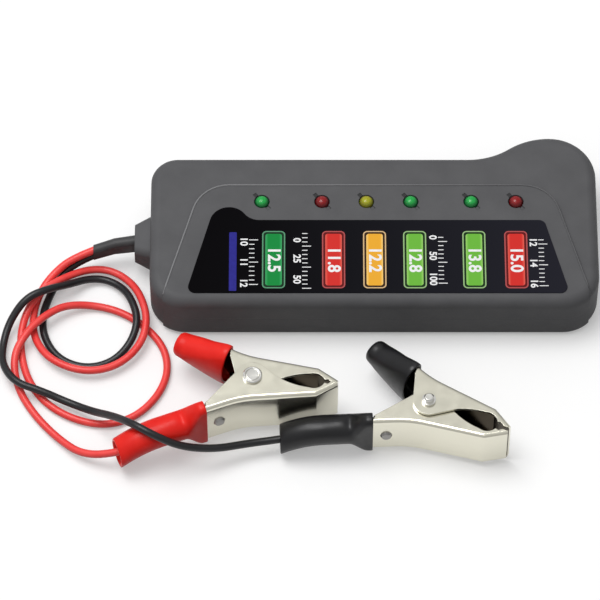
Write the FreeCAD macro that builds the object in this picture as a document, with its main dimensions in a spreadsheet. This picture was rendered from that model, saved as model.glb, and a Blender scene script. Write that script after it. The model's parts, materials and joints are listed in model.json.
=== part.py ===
"""Hand-size 12 V battery tester: a two-shell case with six lamps and two clamp leads.

All lengths are millimetres. The origin is the centre of the flat underside of the
case, +X runs to the right along the case, +Y to the back and +Z up.
"""
import FreeCAD
import Part
import Sketcher
import math
import os

Vector = FreeCAD.Vector

DRIVING = {
    # case
    "case_length": 150.0,
    "case_width": 58.0,
    "case_height": 20.5,
    "case_wall": 2.0,
    "cut_past": 1.0,
    "arc_margin": 0.15,
    "front_corner": 12.0,
    "back_corner": 9.0,
    "top_edge": 3.2,
    "base_edge": 2.6,
    "split_height": 10.5,
    "lip_height": 1.4,
    "lip_gap": 0.1,
    # finger grip at the back right
    "grip_rise": 8.5,
    "grip_start": 32.0,
    "grip_corner": 15.5,
    # raised plateau
    "plateau_step": 0.6,
    "plateau_left": 62.8,
    "plateau_right": 64.3,
    "plateau_back": 17.0,
    "plateau_lean": 16.2,
    "plateau_corner": 12.5,
    # label
    "label_thick": 0.3,
    "label_front": -25.7,
    "label_back": 2.9,
    "label_right": 57.0,
    "label_lean": 15.2,
    "label_corner": 2.4,
    "label_bulge_x": -48.6,
    "label_bulge_y": 1.5,
    "label_bulge": 6.5,
    "label_dip_x": -38.5,
    # lamps
    "lamp_diameter": 5.0,
    "lamp_flange": 5.8,
    "lamp_flange_thick": 1.0,
    "lamp_height": 8.6,
    "lamp_stand": 1.4,
    "lamp_gap": 0.1,
    "lamp_row": 10.45,
    "groove_long": 8.0,
    "groove_wide": 1.3,
    "groove_deep": 0.5,
    "groove_turn": -50.0,
    "lamp_leg": 0.5,
    "lamp_leg_pitch": 2.54,
    "lamp_leg_tail": 1.2,
    "lamp_leg_gap": 0.15,
    # cable entry
    "nose_length": 5.3,
    "nose_root_wide": 18.0,
    "nose_root_tall": 13.0,
    "nose_tip_wide": 11.4,
    "nose_tip_tall": 9.0,
    "nose_round": 2.6,
    "relief_wide": 4.0,
    "relief_tall": 7.0,
    "relief_end_wide": 3.4,
    "relief_end_tall": 6.4,
    "relief_length": 14.0,
    "relief_droop": 2.6,
    "relief_swing": 1.9,
    "relief_flange": 11.0,
    "relief_flange_thick": 2.0,
    # case screws
    "screw_x": 63.0,
    "screw_y": 18.5,
    "screw_thread": 2.9,
    "screw_head": 5.6,
    "screw_head_tall": 2.0,
    "screw_length": 14.0,
    "screw_recess": 3.6,
    "post_diameter": 7.4,
    "screw_tip": 0.3,
    "head_gap": 0.3,
    "thread_gap": 0.05,
    # board
    "board_left": 57.0,
    "board_right": 57.0,
    "board_front": -8.0,
    "board_back": 17.0,
    "board_thick": 1.6,
    "board_drop": 9.8,
    "board_post": 6.0,
    "board_screw_x": 54.2,
    "board_screw_y": -4.0,
    "board_screw_thread": 2.4,
    "board_screw_head": 4.4,
    "board_screw_length": 7.0,
    "board_hole_gap": 0.2,
    # parts on the board
    "chip_x": -20.0,
    "chip_y": -1.5,
    "chip_long": 19.3,
    "chip_wide": 6.4,
    "chip_tall": 3.3,
    "chip_stand": 0.5,
    "pin_pitch": 2.54,
    "pin_wide": 0.5,
    "pin_thick": 0.3,
    "pin_tall": 2.2,
    "resistor_diameter": 2.3,
    "resistor_long": 6.2,
    "resistor_first_x": 4.0,
    "resistor_y": -5.0,
    "resistor_step": 5.0,
    "resistor_leg": 0.6,
    "resistor_reach": 1.3,
    "resistor_stand": 0.1,
    "diode_diameter": 2.8,
    "diode_long": 5.2,
    "diode_x": -44.0,
    "diode_y": -4.5,
    "capacitor_diameter": 5.0,
    "capacitor_tall": 6.0,
    "capacitor_x": 48.5,
    "capacitor_y": 1.5,
    # leads
    "wire_diameter": 2.6,
    "wire_pitch": 3.1,
    "inner_wire_diameter": 1.6,
    "inner_wire_rise": 4.8,
    "red_pad_inset": 9.0,
    "red_pad_y": 6.5,
    "black_pad_inset": 7.5,
    "black_pad_y": 2.5,
    # clamps
    "clamp_width": 19.5,
    "clamp_sheet": 0.9,
    "clamp_side_gap": 0.3,
    "clamp_bend": 1.4,
    "handle_angle": 24.5,
    "back_angle": 7.9,
    "nose_angle": 32.0,
    "shoulder_x": -3.0,
    "shoulder_y": 9.0,
    "shoulder_curve": 34.0,
    "back_length": 24.7,
    "nose_run": 7.9,
    "handle_depth": 3.2,
    "lobe_radius": 5.2,
    "lobe_tangent": 54.0,
    "ear_lead": 1.2,
    "fixed_ear_angle": 36.0,
    "moving_ear_angle": 17.0,
    "lip_half_gap": 0.15,
    "lip_long": 2.2,
    "lip_step": 0.1,
    "lip_end": 0.3,
    "notch_back": 3.4,
    "notch_rise": 1.1,
    "tooth_back": 4.4,
    "tooth_rise": 0.7,
    "mouth_back": 9.4,
    "mouth_rise": 2.8,
    "mouth_curve": 24.0,
    "mouth_end_curve": 4.0,
    "tongue_width": 4.0,
    "tongue_taper": 4.6,
    "tongue_lead": 0.4,
    "flange_lead": 1.2,
    "trim_margin": 0.01,
    "rivet_diameter": 3.0,
    "rivet_hole": 3.1,
    "rivet_head": 6.3,
    "rivet_head_tall": 1.0,
    "rivet_collar": 4.6,
    "rivet_collar_tall": 0.8,
    "rivet_tail": 3.4,
    "rivet_tail_tall": 2.4,
    "rivet_gap": 0.1,
    "rivet_head_bevel": 0.3,
    "rivet_ring": 2.2,
    "rivet_ring_wide": 0.5,
    "rivet_ring_deep": 0.3,
    "rivet_tail_bevel": 0.5,
    "spring_wire": 1.2,
    "spring_radius": 3.2,
    "spring_pitch": 1.7,
    "spring_lean": 8.5,
    "spring_leg": 10.0,
    "fixed_sleeve_start": 18.6,
    "fixed_sleeve_end": 49.0,
    "fixed_tongue_end": 34.0,
    "moving_sleeve_start": 11.5,
    "moving_sleeve_end": 31.0,
    "moving_tongue_end": 28.5,
    "fixed_tube_inner": 4.2,
    "moving_tube_inner": 3.6,
    "sleeve_wall": 0.8,
    "sleeve_gap": 0.2,
    "sleeve_flare": 8.0,
    "moving_flare": 12.0,
    "fixed_tube_centre": 3.0,
    "moving_tube_centre": 2.43,
    "sleeve_sag": 5.0,
    "sleeve_tip_inner": 3.2,
    "sleeve_cap": 1.0,
    "terminal_at": 14.2,
    "terminal_ring": 5.0,
    "terminal_thick": 0.6,
    "terminal_end": 26.5,
    "terminal_barrel": 2.6,
    "terminal_barrel_long": 5.0,
    "terminal_rivet": 2.0,
    "terminal_rivet_head": 4.0,
    "terminal_rivet_tall": 0.8,
    "terminal_rivet_tail": 0.7,
    "terminal_rivet_bevel": 0.5,
    "terminal_rivet_gap": 0.02,
    "terminal_gap": 0.05,
    "black_clamp_x": 17.4,
    "black_clamp_y": -67.0,
    "black_clamp_turn": -22.0,
    "red_clamp_x": -40.4,
    "red_clamp_y": -58.5,
    "red_clamp_turn": -4.0,
}

LAMPS = [
    ("led_1_green", -37.6),
    ("led_2_red", -17.4),
    ("led_3_yellow", -2.5),
    ("led_4_green", 12.4),
    ("led_5_green", 32.7),
    ("led_6_red", 47.7),
]

# Routes of the two leads, from the strain relief to the mouths of the clamp sleeves
RED_LEAD = [
    (-93.3, -1.7, 9.7), (-101.0, -3.9, 7.8), (-107.2, -7.8, 5.1), (-112.1, -14.0, 2.8),
    (-114.6, -23.0, 1.6), (-113.6, -33.0, 2.1), (-107.5, -42.0, 3.7), (-96.5, -46.5, 4.1),
    (-86.0, -44.0, 3.5), (-78.2, -36.6, 4.0), (-75.7, -27.0, 4.8), (-78.0, -17.4, 4.8),
    (-82.2, -9.8, 2.6), (-88.8, -5.0, 1.8), (-96.3, -5.2, 2.6), (-104.0, -10.0, 5.0),
    (-110.5, -15.0, 6.2), (-115.5, -21.0, 5.2), (-118.3, -29.0, 2.2), (-117.9, -39.0, 1.4),
    (-115.0, -49.0, 1.4), (-109.0, -57.3, 1.4), (-99.7, -63.2, 1.4), (-89.0, -65.5, 1.4),
    (-79.3, -62.2, 1.4), (-72.0, -54.4, 1.4), (-68.6, -45.0, 1.4), (-70.0, -35.6, 1.4),
    (-76.0, -27.6, 1.4), (-84.6, -21.4, 1.4), (-94.2, -18.8, 1.6), (-103.5, -20.5, 4.4),
    (-110.0, -25.0, 5.4), (-116.0, -31.5, 5.6), (-120.4, -40.0, 4.2), (-119.2, -50.0, 1.5),
    (-113.5, -60.6, 1.4), (-105.0, -70.4, 1.6), (-96.0, -78.2, 3.8),
]
BLACK_LEAD = [
    (-93.4, -1.7, 6.6), (-100.6, -3.9, 4.5), (-105.8, -8.4, 2.3), (-109.1, -15.2, 1.4),
    (-111.4, -23.2, 1.4), (-110.4, -32.0, 1.4), (-105.3, -40.0, 1.4), (-96.3, -43.6, 1.4),
    (-87.3, -41.2, 1.6), (-81.3, -34.8, 3.2), (-78.9, -26.6, 4.8), (-81.1, -18.8, 4.8),
    (-84.4, -12.6, 2.6), (-90.0, -8.8, 1.8), (-96.2, -9.0, 2.6), (-102.6, -13.0, 5.4),
    (-109.3, -17.2, 9.4), (-116.5, -20.6, 9.4), (-122.0, -27.0, 4.6), (-124.2, -35.0, 2.2),
    (-124.0, -43.5, 4.0), (-119.3, -51.3, 5.6), (-110.6, -54.4, 5.4), (-102.0, -57.5, 3.2),
    (-93.5, -62.2, 5.2), (-86.5, -67.8, 12.0), (-80.0, -74.2, 18.4), (-73.0, -78.6, 18.4),
    (-64.0, -80.4, 13.6), (-53.0, -78.6, 8.8), (-42.0, -75.2, 6.6),
]
# Last points of both leads inside a sleeve: along the handle, out from the pivot, up
LEAD_TAIL = [(48.0, 4.4, -4.2), (41.0, 4.4, -2.0), (33.4, 4.7, 0.0), (26.5, 4.7, 0.0)]

doc = FreeCAD.newDocument("battery_tester")
sheet = doc.addObject("Spreadsheet::Sheet", "sizes")


class Size:
    """A number together with the expression that ties it to the spreadsheet."""

    def __init__(self, value, text):
        self.value = float(value)
        self.text = text

    def __add__(self, other):
        return Size(self.value + number(other), f"({self.text} + {words(other)})")

    def __radd__(self, other):
        return Size(number(other) + self.value, f"({words(other)} + {self.text})")

    def __sub__(self, other):
        return Size(self.value - number(other), f"({self.text} - {words(other)})")

    def __rsub__(self, other):
        return Size(number(other) - self.value, f"({words(other)} - {self.text})")

    def __mul__(self, other):
        return Size(self.value * number(other), f"({self.text} * {words(other)})")

    def __rmul__(self, other):
        return Size(number(other) * self.value, f"({words(other)} * {self.text})")

    def __truediv__(self, other):
        return Size(self.value / number(other), f"({self.text} / {words(other)})")

    def __neg__(self):
        return Size(-self.value, f"(0 - {self.text})")


def number(item):
    return item.value if isinstance(item, Size) else float(item)


def words(item):
    return item.text if isinstance(item, Size) else f"({float(item)})"


def sin_of(angle):
    return Size(math.sin(math.radians(number(angle))), f"sin({words(angle)})")


def cos_of(angle):
    return Size(math.cos(math.radians(number(angle))), f"cos({words(angle)})")


def tan_of(angle):
    return Size(math.tan(math.radians(number(angle))), f"tan({words(angle)})")


class Sizes:
    """The driving sizes by name."""


s = Sizes()
for row, (name, value) in enumerate(DRIVING.items(), start=1):
    sheet.set(f"A{row}", name)
    sheet.set(f"B{row}", str(value))
    sheet.setAlias(f"B{row}", name)
    setattr(s, name, Size(value, f"sizes.{name}"))
doc.recompute()


# Helpers

def bind(thing, path, item):
    if isinstance(item, Size):
        thing.setExpression(path, item.text)


def place(thing, x, y, z, axis=(0, 0, 1), angle=0.0):
    spin = FreeCAD.Rotation(Vector(*axis), number(angle))
    thing.Placement = FreeCAD.Placement(Vector(number(x), number(y), number(z)), spin)
    bind(thing, "Placement.Base.x", x)
    bind(thing, "Placement.Base.y", y)
    bind(thing, "Placement.Base.z", z)
    bind(thing, "Placement.Rotation.Angle", angle)
    return thing


def new_body(name):
    return doc.addObject("PartDesign::Body", name)


def sketch_on(body, plane, name, offset=None):
    sketch = body.newObject("Sketcher::SketchObject", name)
    support = [item for item in body.Origin.OriginFeatures if item.Role == plane][0]
    sketch.AttachmentSupport = [(support, "")]
    sketch.MapMode = "FlatFace"
    if offset is not None:
        sketch.AttachmentOffset = FreeCAD.Placement(Vector(0, 0, number(offset)), FreeCAD.Rotation())
        bind(sketch, "AttachmentOffset.Base.z", offset)
    return sketch


def tie(sketch, kind, ends, item):
    index = sketch.addConstraint(Sketcher.Constraint(kind, *ends, number(item)))
    bind(sketch, f"Constraints[{index}]", item)


def arc_between(start, end, radius, turn):
    chord = end - start
    left = Vector(-chord.y, chord.x, 0).normalize()
    reach = math.sqrt(max(radius ** 2 - (chord.Length / 2) ** 2, 0.0))
    middle = (start + end) * 0.5 - left * (turn * (radius - reach))
    return Part.Arc(start, middle, end)


def draw_loop(sketch, corners):
    """Closed loop of (x, y) or (x, y, radius, turn); the radius bends the run to the next corner."""
    spots = [Vector(number(c[0]), number(c[1]), 0) for c in corners]
    count = len(corners)
    first = sketch.GeometryCount
    ends = []
    for i, corner in enumerate(corners):
        start, end = spots[i], spots[(i + 1) % count]
        if len(corner) == 4:
            sketch.addGeometry(arc_between(start, end, number(corner[2]), corner[3]), False)
            ends.append((1, 2) if corner[3] > 0 else (2, 1))
        else:
            sketch.addGeometry(Part.LineSegment(start, end), False)
            ends.append((1, 2))
    for i, corner in enumerate(corners):
        after = (i + 1) % count
        sketch.addConstraint(
            Sketcher.Constraint("Coincident", first + i, ends[i][1], first + after, ends[after][0])
        )
        tie(sketch, "DistanceX", (-1, 1, first + i, ends[i][0]), corner[0])
        tie(sketch, "DistanceY", (-1, 1, first + i, ends[i][0]), corner[1])
        if len(corner) == 4:
            tie(sketch, "Radius", (first + i,), corner[2])


def draw_circle(sketch, x, y, radius):
    spot = Vector(number(x), number(y), 0)
    index = sketch.addGeometry(Part.Circle(spot, Vector(0, 0, 1), number(radius)), False)
    tie(sketch, "DistanceX", (-1, 1, index, 3), x)
    tie(sketch, "DistanceY", (-1, 1, index, 3), y)
    tie(sketch, "Radius", (index,), radius)


def rounded_rectangle(x, y, wide, tall, radius):
    left, right = x - wide / 2, x + wide / 2
    low, high = y - tall / 2, y + tall / 2
    return [
        (left + radius, low),
        (right - radius, low, radius, 1),
        (right, low + radius),
        (right, high - radius, radius, 1),
        (right - radius, high),
        (left + radius, high, radius, 1),
        (left, high - radius),
        (left, low + radius, radius, 1),
    ]


def pad(body, sketch, length, midplane=False):
    feature = body.newObject("PartDesign::Pad", sketch.Name + "_pad")
    feature.Profile = sketch
    feature.Length = number(length)
    bind(feature, "Length", length)
    if midplane:
        feature.SideType = "Symmetric"
    sketch.Visibility = False
    doc.recompute()
    return feature


def pocket(body, sketch, length):
    feature = body.newObject("PartDesign::Pocket", sketch.Name + "_pocket")
    feature.Profile = sketch
    feature.SideType = "Symmetric"
    feature.Length = number(length)
    bind(feature, "Length", length)
    sketch.Visibility = False
    doc.recompute()
    return feature


def revolve(body, sketch):
    feature = body.newObject("PartDesign::Revolution", sketch.Name + "_turn")
    feature.Profile = sketch
    feature.ReferenceAxis = (sketch, ["V_Axis"])
    feature.Angle = 360.0
    sketch.Visibility = False
    doc.recompute()
    return feature


def loft(body, sketches, kind="Additive", ruled=True):
    feature = body.newObject(f"PartDesign::{kind}Loft", sketches[0].Name + "_loft")
    feature.Profile = sketches[0]
    feature.Sections = sketches[1:]
    feature.Ruled = ruled
    for sketch in sketches:
        sketch.Visibility = False
    doc.recompute()
    return feature


def round_edges(body, feature, radius, chosen):
    names = [f"Edge{i}" for i, edge in enumerate(feature.Shape.Edges, start=1) if chosen(edge)]
    fillet = body.newObject("PartDesign::Fillet", feature.Name + "_round")
    fillet.Base = (feature, names)
    fillet.Radius = number(radius)
    bind(fillet, "Radius", radius)
    doc.recompute()
    return fillet


def middle_of(edge):
    return edge.valueAt((edge.FirstParameter + edge.LastParameter) / 2)


def cylinder(name, radius, height):
    thing = doc.addObject("Part::Cylinder", name)
    thing.Radius = number(radius)
    thing.Height = number(height)
    bind(thing, "Radius", radius)
    bind(thing, "Height", height)
    return thing


def box(name, length, width, height):
    thing = doc.addObject("Part::Box", name)
    for path, item in (("Length", length), ("Width", width), ("Height", height)):
        setattr(thing, path, number(item))
        bind(thing, path, item)
    return thing


def cut(name, base, tool):
    thing = doc.addObject("Part::Cut", name)
    thing.Base = base
    thing.Tool = tool
    return thing


def common(name, base, tool):
    thing = doc.addObject("Part::Common", name)
    thing.Base = base
    thing.Tool = tool
    return thing


def fuse(name, items):
    thing = doc.addObject("Part::MultiFuse", name)
    thing.Shapes = items
    thing.Refine = True
    return thing


def group(name, items):
    thing = doc.addObject("Part::Compound", name)
    thing.Links = items
    return thing


SUBPARTS = []


def keep(thing, label):
    thing.Label = label
    SUBPARTS.append(thing)
    return thing


# Case outline, drawn at any inset from the outside wall

def case_outline(inset):
    half = s.case_length / 2 - inset
    front = inset - s.case_width / 2
    back = s.case_width / 2 - inset
    peak = back + s.grip_rise
    front_r = s.front_corner - inset
    back_r = s.back_corner - inset
    grip_r = s.grip_corner - inset
    crest_x = s.case_length / 2 - s.grip_corner
    run = crest_x - s.grip_start
    square = run * run + s.grip_rise * s.grip_rise
    wave = square / (4 * s.grip_rise)
    lean_sin = 2 * s.grip_rise * run / square
    lean_cos = (run * run - s.grip_rise * s.grip_rise) / square
    mid_x = (s.grip_start + crest_x) / 2 + inset * lean_sin
    mid_y = s.case_width / 2 + s.grip_rise / 2 - inset * lean_cos
    return [
        (front_r - half, front),
        (half - front_r, front, front_r, 1),
        (half, front + front_r),
        (half, peak - grip_r, grip_r, 1),
        (crest_x, peak, wave - inset, 1),
        (mid_x, mid_y, wave + inset, -1),
        (s.grip_start, back),
        (back_r - half, back, back_r, 1),
        (-half, back - back_r),
        (-half, front + front_r, front_r, 1),
    ]


def case_block(name, inset, low, high, top_radius=None, base_radius=None):
    body = new_body(name)
    sketch = sketch_on(body, "XY_Plane", name + "_outline", low)
    draw_loop(sketch, case_outline(inset))
    feature = pad(body, sketch, high - low)
    if top_radius is not None:
        top = number(high)
        feature = round_edges(
            body, feature, top_radius,
            lambda edge: all(abs(v.Z - top) < 1e-4 for v in edge.Vertexes),
        )
    if base_radius is not None:
        base = number(low)
        feature = round_edges(
            body, feature, base_radius,
            lambda edge: all(abs(v.Z - base) < 1e-4 for v in edge.Vertexes),
        )
    return body


ZERO = Size(0.0, "0")
main_top = s.case_height - s.plateau_step
board_top = s.case_height - s.board_drop
ceiling = main_top - s.case_wall

main_block = case_block("main_block", ZERO, ZERO, main_top, s.top_edge, s.base_edge)
grown_block = case_block(
    "grown_block", -s.plateau_step, ZERO, s.case_height, s.top_edge + s.plateau_step, s.base_edge
)

# Plateau: a leaning outline taken through the slightly larger block
plateau_cutter = new_body("plateau_cutter")
plateau_sketch = sketch_on(plateau_cutter, "XY_Plane", "plateau_outline", -s.cut_past)
lean_tan = tan_of(s.plateau_lean)
front_y = -(s.case_width / 2 + 5 * s.cut_past)
tangent = s.plateau_corner * tan_of((90 - s.plateau_lean) / 2)
corner_left = s.plateau_back * lean_tan - s.plateau_left
corner_right = s.plateau_right - s.plateau_back * lean_tan
drop_x = tangent * sin_of(s.plateau_lean)
drop_y = tangent * cos_of(s.plateau_lean)
draw_loop(plateau_sketch, [
    (front_y * lean_tan - s.plateau_left, front_y),
    (s.plateau_right - front_y * lean_tan, front_y),
    (corner_right + drop_x, s.plateau_back - drop_y, s.plateau_corner, 1),
    (corner_right - tangent, s.plateau_back),
    (corner_left + tangent, s.plateau_back, s.plateau_corner, 1),
    (corner_left - drop_x, s.plateau_back - drop_y),
])
pad(plateau_cutter, plateau_sketch, s.case_height + 3 * s.cut_past)
plateau = common("plateau", grown_block, plateau_cutter)

# Nose that carries the strain relief
nose = new_body("nose_block")
nose_sections = []
for label, offset, wide, tall in (
    ("root", s.case_wall - s.case_length / 2, s.nose_root_wide, s.nose_root_tall),
    ("tip", -(s.case_length / 2 + s.nose_length), s.nose_tip_wide, s.nose_tip_tall),
):
    section = sketch_on(nose, "YZ_Plane", "nose_" + label, offset)
    draw_loop(section, rounded_rectangle(ZERO, s.split_height, wide, tall, s.nose_round))
    nose_sections.append(section)
loft(nose, nose_sections)

case_solid = fuse("case_solid", [main_block, plateau, nose])

# Hollow, strain-relief bore and flange pocket, shared by both shells
cavity = case_block("cavity", s.case_wall, s.case_wall, ceiling)
bore = new_body("relief_bore")
bore_start = -(s.case_length / 2 + s.nose_length + s.cut_past)
bore_sketch = sketch_on(bore, "YZ_Plane", "relief_bore_outline", bore_start)
bore_round = s.relief_wide / 2 - s.arc_margin
draw_loop(bore_sketch, rounded_rectangle(
    ZERO, s.split_height, s.relief_wide, s.relief_tall, bore_round))
pad(bore, bore_sketch, s.nose_length + s.case_wall + 2 * s.cut_past)
hollow = fuse("hollow", [cavity, bore])
case_shell = cut("case_shell", case_solid, hollow)

# Screw columns: lower posts stand on the rear shell, upper bosses hang from the front shell
screw_spots = [(x, y) for x in (-s.screw_x, s.screw_x) for y in (-s.screw_y, s.screw_y)]
board_spots = [
    (x, y)
    for x in (-s.board_screw_x, s.board_screw_x)
    for y in (s.board_screw_y, s.lamp_row + 2)
]
screw_base = s.screw_recess
lower_posts, upper_posts, lower_holes, upper_holes = [], [], [], []
for i, (x, y) in enumerate(screw_spots, start=1):
    post = cylinder(f"lower_post_{i}", s.post_diameter / 2, s.split_height - s.case_wall / 2)
    lower_posts.append(place(post, x, y, s.case_wall / 2))
    boss = cylinder(f"upper_post_{i}", s.post_diameter / 2, ceiling + s.case_wall / 2 - s.split_height)
    upper_posts.append(place(boss, x, y, s.split_height))
    head_hole = cylinder(f"head_hole_{i}", s.screw_head / 2 + s.head_gap, s.screw_recess + s.cut_past)
    lower_holes.append(place(head_hole, x, y, -s.cut_past))
    thread_r = s.screw_thread / 2 + s.thread_gap
    thread_hole = cylinder(f"thread_hole_{i}", thread_r, s.screw_length + s.cut_past)
    lower_holes.append(place(thread_hole, x, y, s.screw_recess / 2))
    boss_hole = cylinder(f"boss_hole_{i}", thread_r, s.screw_length + s.cut_past)
    upper_holes.append(place(boss_hole, x, y, s.screw_recess - s.screw_head_tall))
for i, (x, y) in enumerate(board_spots, start=1):
    boss = cylinder(f"board_post_{i}", s.board_post / 2, ceiling + s.case_wall / 2 - board_top)
    upper_posts.append(place(boss, x, y, board_top))
    thread_r = s.board_screw_thread / 2 + s.thread_gap
    boss_hole = cylinder(f"board_hole_{i}", thread_r, s.board_screw_length)
    upper_holes.append(place(boss_hole, x, y, board_top - s.cut_past))

# Lamp windows, each crossed by a shallow slanting groove
groove_run, groove_rise = cos_of(s.groove_turn), sin_of(s.groove_turn)
groove_back_x = (s.groove_long * groove_run - s.groove_wide * groove_rise) / 2
groove_back_y = (s.groove_long * groove_rise + s.groove_wide * groove_run) / 2
for i, (label, lamp_x) in enumerate(LAMPS, start=1):
    window = cylinder(f"window_{i}", s.lamp_diameter / 2 + s.lamp_gap, s.case_height)
    upper_holes.append(place(window, lamp_x, s.lamp_row, board_top))
    groove = box(f"groove_{i}", s.groove_long, s.groove_wide, s.groove_deep + s.cut_past)
    upper_holes.append(place(
        groove, lamp_x - groove_back_x, s.lamp_row - groove_back_y, s.case_height - s.groove_deep,
        (0, 0, 1), s.groove_turn,
    ))

# Lip that seats the two shells on each other
lip_outer = case_block(
    "lip_outer", s.case_wall / 2 + s.lip_gap, s.split_height - s.cut_past,
    s.split_height + s.lip_height
)
lip_inner = case_block(
    "lip_inner", s.case_wall, s.split_height - 2 * s.cut_past,
    s.split_height + s.lip_height + s.cut_past
)
lip_ring = cut("lip_ring", lip_outer, lip_inner)
lip_break = box(
    "lip_break", s.nose_length + 6 * s.case_wall, s.nose_root_wide + 2 * s.cut_past,
    s.lip_height + 4 * s.cut_past,
)
place(
    lip_break, -(s.case_length / 2 + s.nose_length), -(s.nose_root_wide / 2 + s.cut_past),
    s.split_height - 2 * s.cut_past,
)
lip = cut("lip", lip_ring, lip_break)
rebate_outer = case_block(
    "rebate_outer", s.case_wall / 2, s.split_height - s.cut_past, s.split_height + s.lip_height
)
rebate = cut("rebate", rebate_outer, fuse("rebate_inside", [lip_inner, lip_break]))

# Halves
reach = s.case_length * 2
upper_room = box("upper_room", reach, reach, s.case_height * 2)
place(upper_room, -reach / 2, -reach / 2, s.split_height)
lower_room = box("lower_room", reach, reach, s.split_height + s.cut_past)
place(lower_room, -reach / 2, -reach / 2, -s.cut_past)

front_half = common("front_half", case_shell, upper_room)
front_solid = fuse("front_solid", [front_half] + upper_posts)
front_cuts = fuse("front_cuts", upper_holes + [rebate])
keep(cut("front_shell", front_solid, front_cuts), "front_shell")

rear_half = common("rear_half", case_shell, lower_room)
rear_solid = fuse("rear_solid", [rear_half, lip] + lower_posts)
rear_cuts = fuse("rear_cuts", lower_holes)
keep(cut("rear_shell", rear_solid, rear_cuts), "rear_shell")

# Label: straight sides, one bulge at the back left
label = new_body("label_overlay")
label_sketch = sketch_on(label, "XY_Plane", "label_outline", s.case_height)
label_tan = tan_of(s.label_lean)
bulge_x = s.label_bulge_x - s.label_bulge * cos_of(s.label_lean)
bulge_y = s.label_bulge_y + s.label_bulge * sin_of(s.label_lean)
dip_run = s.label_dip_x - s.label_bulge_x
dip_fall = s.label_back - s.label_bulge_y
dip = (dip_run * dip_run + dip_fall * dip_fall - s.label_bulge * s.label_bulge) / (
    2 * (s.label_bulge - dip_fall))
share = s.label_bulge / (s.label_bulge + dip)
dip_x = s.label_bulge_x + dip_run * share
dip_y = s.label_bulge_y + (dip_fall + dip) * share
label_turn = s.label_corner * tan_of((90 - s.label_lean) / 2)
label_turn_x = label_turn * sin_of(s.label_lean)
label_turn_y = label_turn * cos_of(s.label_lean)
label_wide_turn = s.label_corner * tan_of((90 + s.label_lean) / 2)
foot_left = bulge_x - (bulge_y - s.label_front) * label_tan
foot_right = s.label_right + (s.label_back - s.label_front) * label_tan
draw_loop(label_sketch, [
    (foot_left + label_wide_turn, s.label_front),
    (foot_right - label_wide_turn, s.label_front, s.label_corner, 1),
    (
        foot_right - label_wide_turn * sin_of(s.label_lean),
        s.label_front + label_wide_turn * cos_of(s.label_lean),
    ),
    (s.label_right + label_turn_x, s.label_back - label_turn_y, s.label_corner, 1),
    (s.label_right - label_turn, s.label_back),
    (s.label_dip_x, s.label_back, dip, -1),
    (dip_x, dip_y, s.label_bulge, 1),
    (bulge_x, bulge_y),
    (
        foot_left + label_wide_turn * sin_of(s.label_lean),
        s.label_front + label_wide_turn * cos_of(s.label_lean),
        s.label_corner, 1,
    ),
])
pad(label, label_sketch, s.label_thick)
keep(label, "label_overlay")

# Lamps, turned about their own axis
lamp_base = s.case_height + s.lamp_stand - s.lamp_height
lamp_r = s.lamp_diameter / 2
for lamp_name, lamp_x in LAMPS:
    lamp = new_body(lamp_name)
    profile = sketch_on(lamp, "XZ_Plane", lamp_name + "_profile")
    draw_loop(profile, [
        (ZERO, ZERO),
        (s.lamp_flange / 2, ZERO),
        (s.lamp_flange / 2, s.lamp_flange_thick),
        (lamp_r, s.lamp_flange_thick),
        (lamp_r, s.lamp_height - lamp_r, lamp_r, 1),
        (ZERO, s.lamp_height),
    ])
    revolve(lamp, profile)
    keep(place(lamp, lamp_x, s.lamp_row, lamp_base), lamp_name)

# Circuit board with holes for screws and lamp legs
board_low = board_top - s.board_thick
board = new_body("board_blank")
board_sketch = sketch_on(board, "XY_Plane", "board_outline", board_low)
draw_loop(board_sketch, [
    (-s.board_left, s.board_front),
    (s.board_right, s.board_front),
    (s.board_right, s.board_back),
    (-s.board_left, s.board_back),
])
pad(board, board_sketch, s.board_thick)
board_holes = []
for i, (x, y) in enumerate(board_spots, start=1):
    hole = cylinder(
        f"board_screw_hole_{i}", s.board_screw_thread / 2 + s.board_hole_gap, s.board_thick * 3)
    board_holes.append(place(hole, x, y, board_low - s.board_thick))
lamp_legs = []
for i, (lamp_name, lamp_x) in enumerate(LAMPS, start=1):
    for side in (-1, 1):
        leg_x = lamp_x + s.lamp_leg_pitch * (side / 2)
        hole = cylinder(
            f"leg_hole_{i}_{side + 1}", s.lamp_leg / 2 + s.lamp_leg_gap, s.board_thick * 3)
        board_holes.append(place(hole, leg_x, s.lamp_row, board_low - s.board_thick))
        leg_low = board_low - s.lamp_leg_tail
        leg = cylinder(f"lamp_leg_{i}_{side + 1}", s.lamp_leg / 2, lamp_base - leg_low)
        lamp_legs.append(place(leg, leg_x, s.lamp_row, leg_low))
keep(cut("circuit_board", board, group("board_holes", board_holes)), "circuit_board")
keep(group("led_leads", lamp_legs), "led_leads")


# Screws with a cross slot in the head

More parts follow.
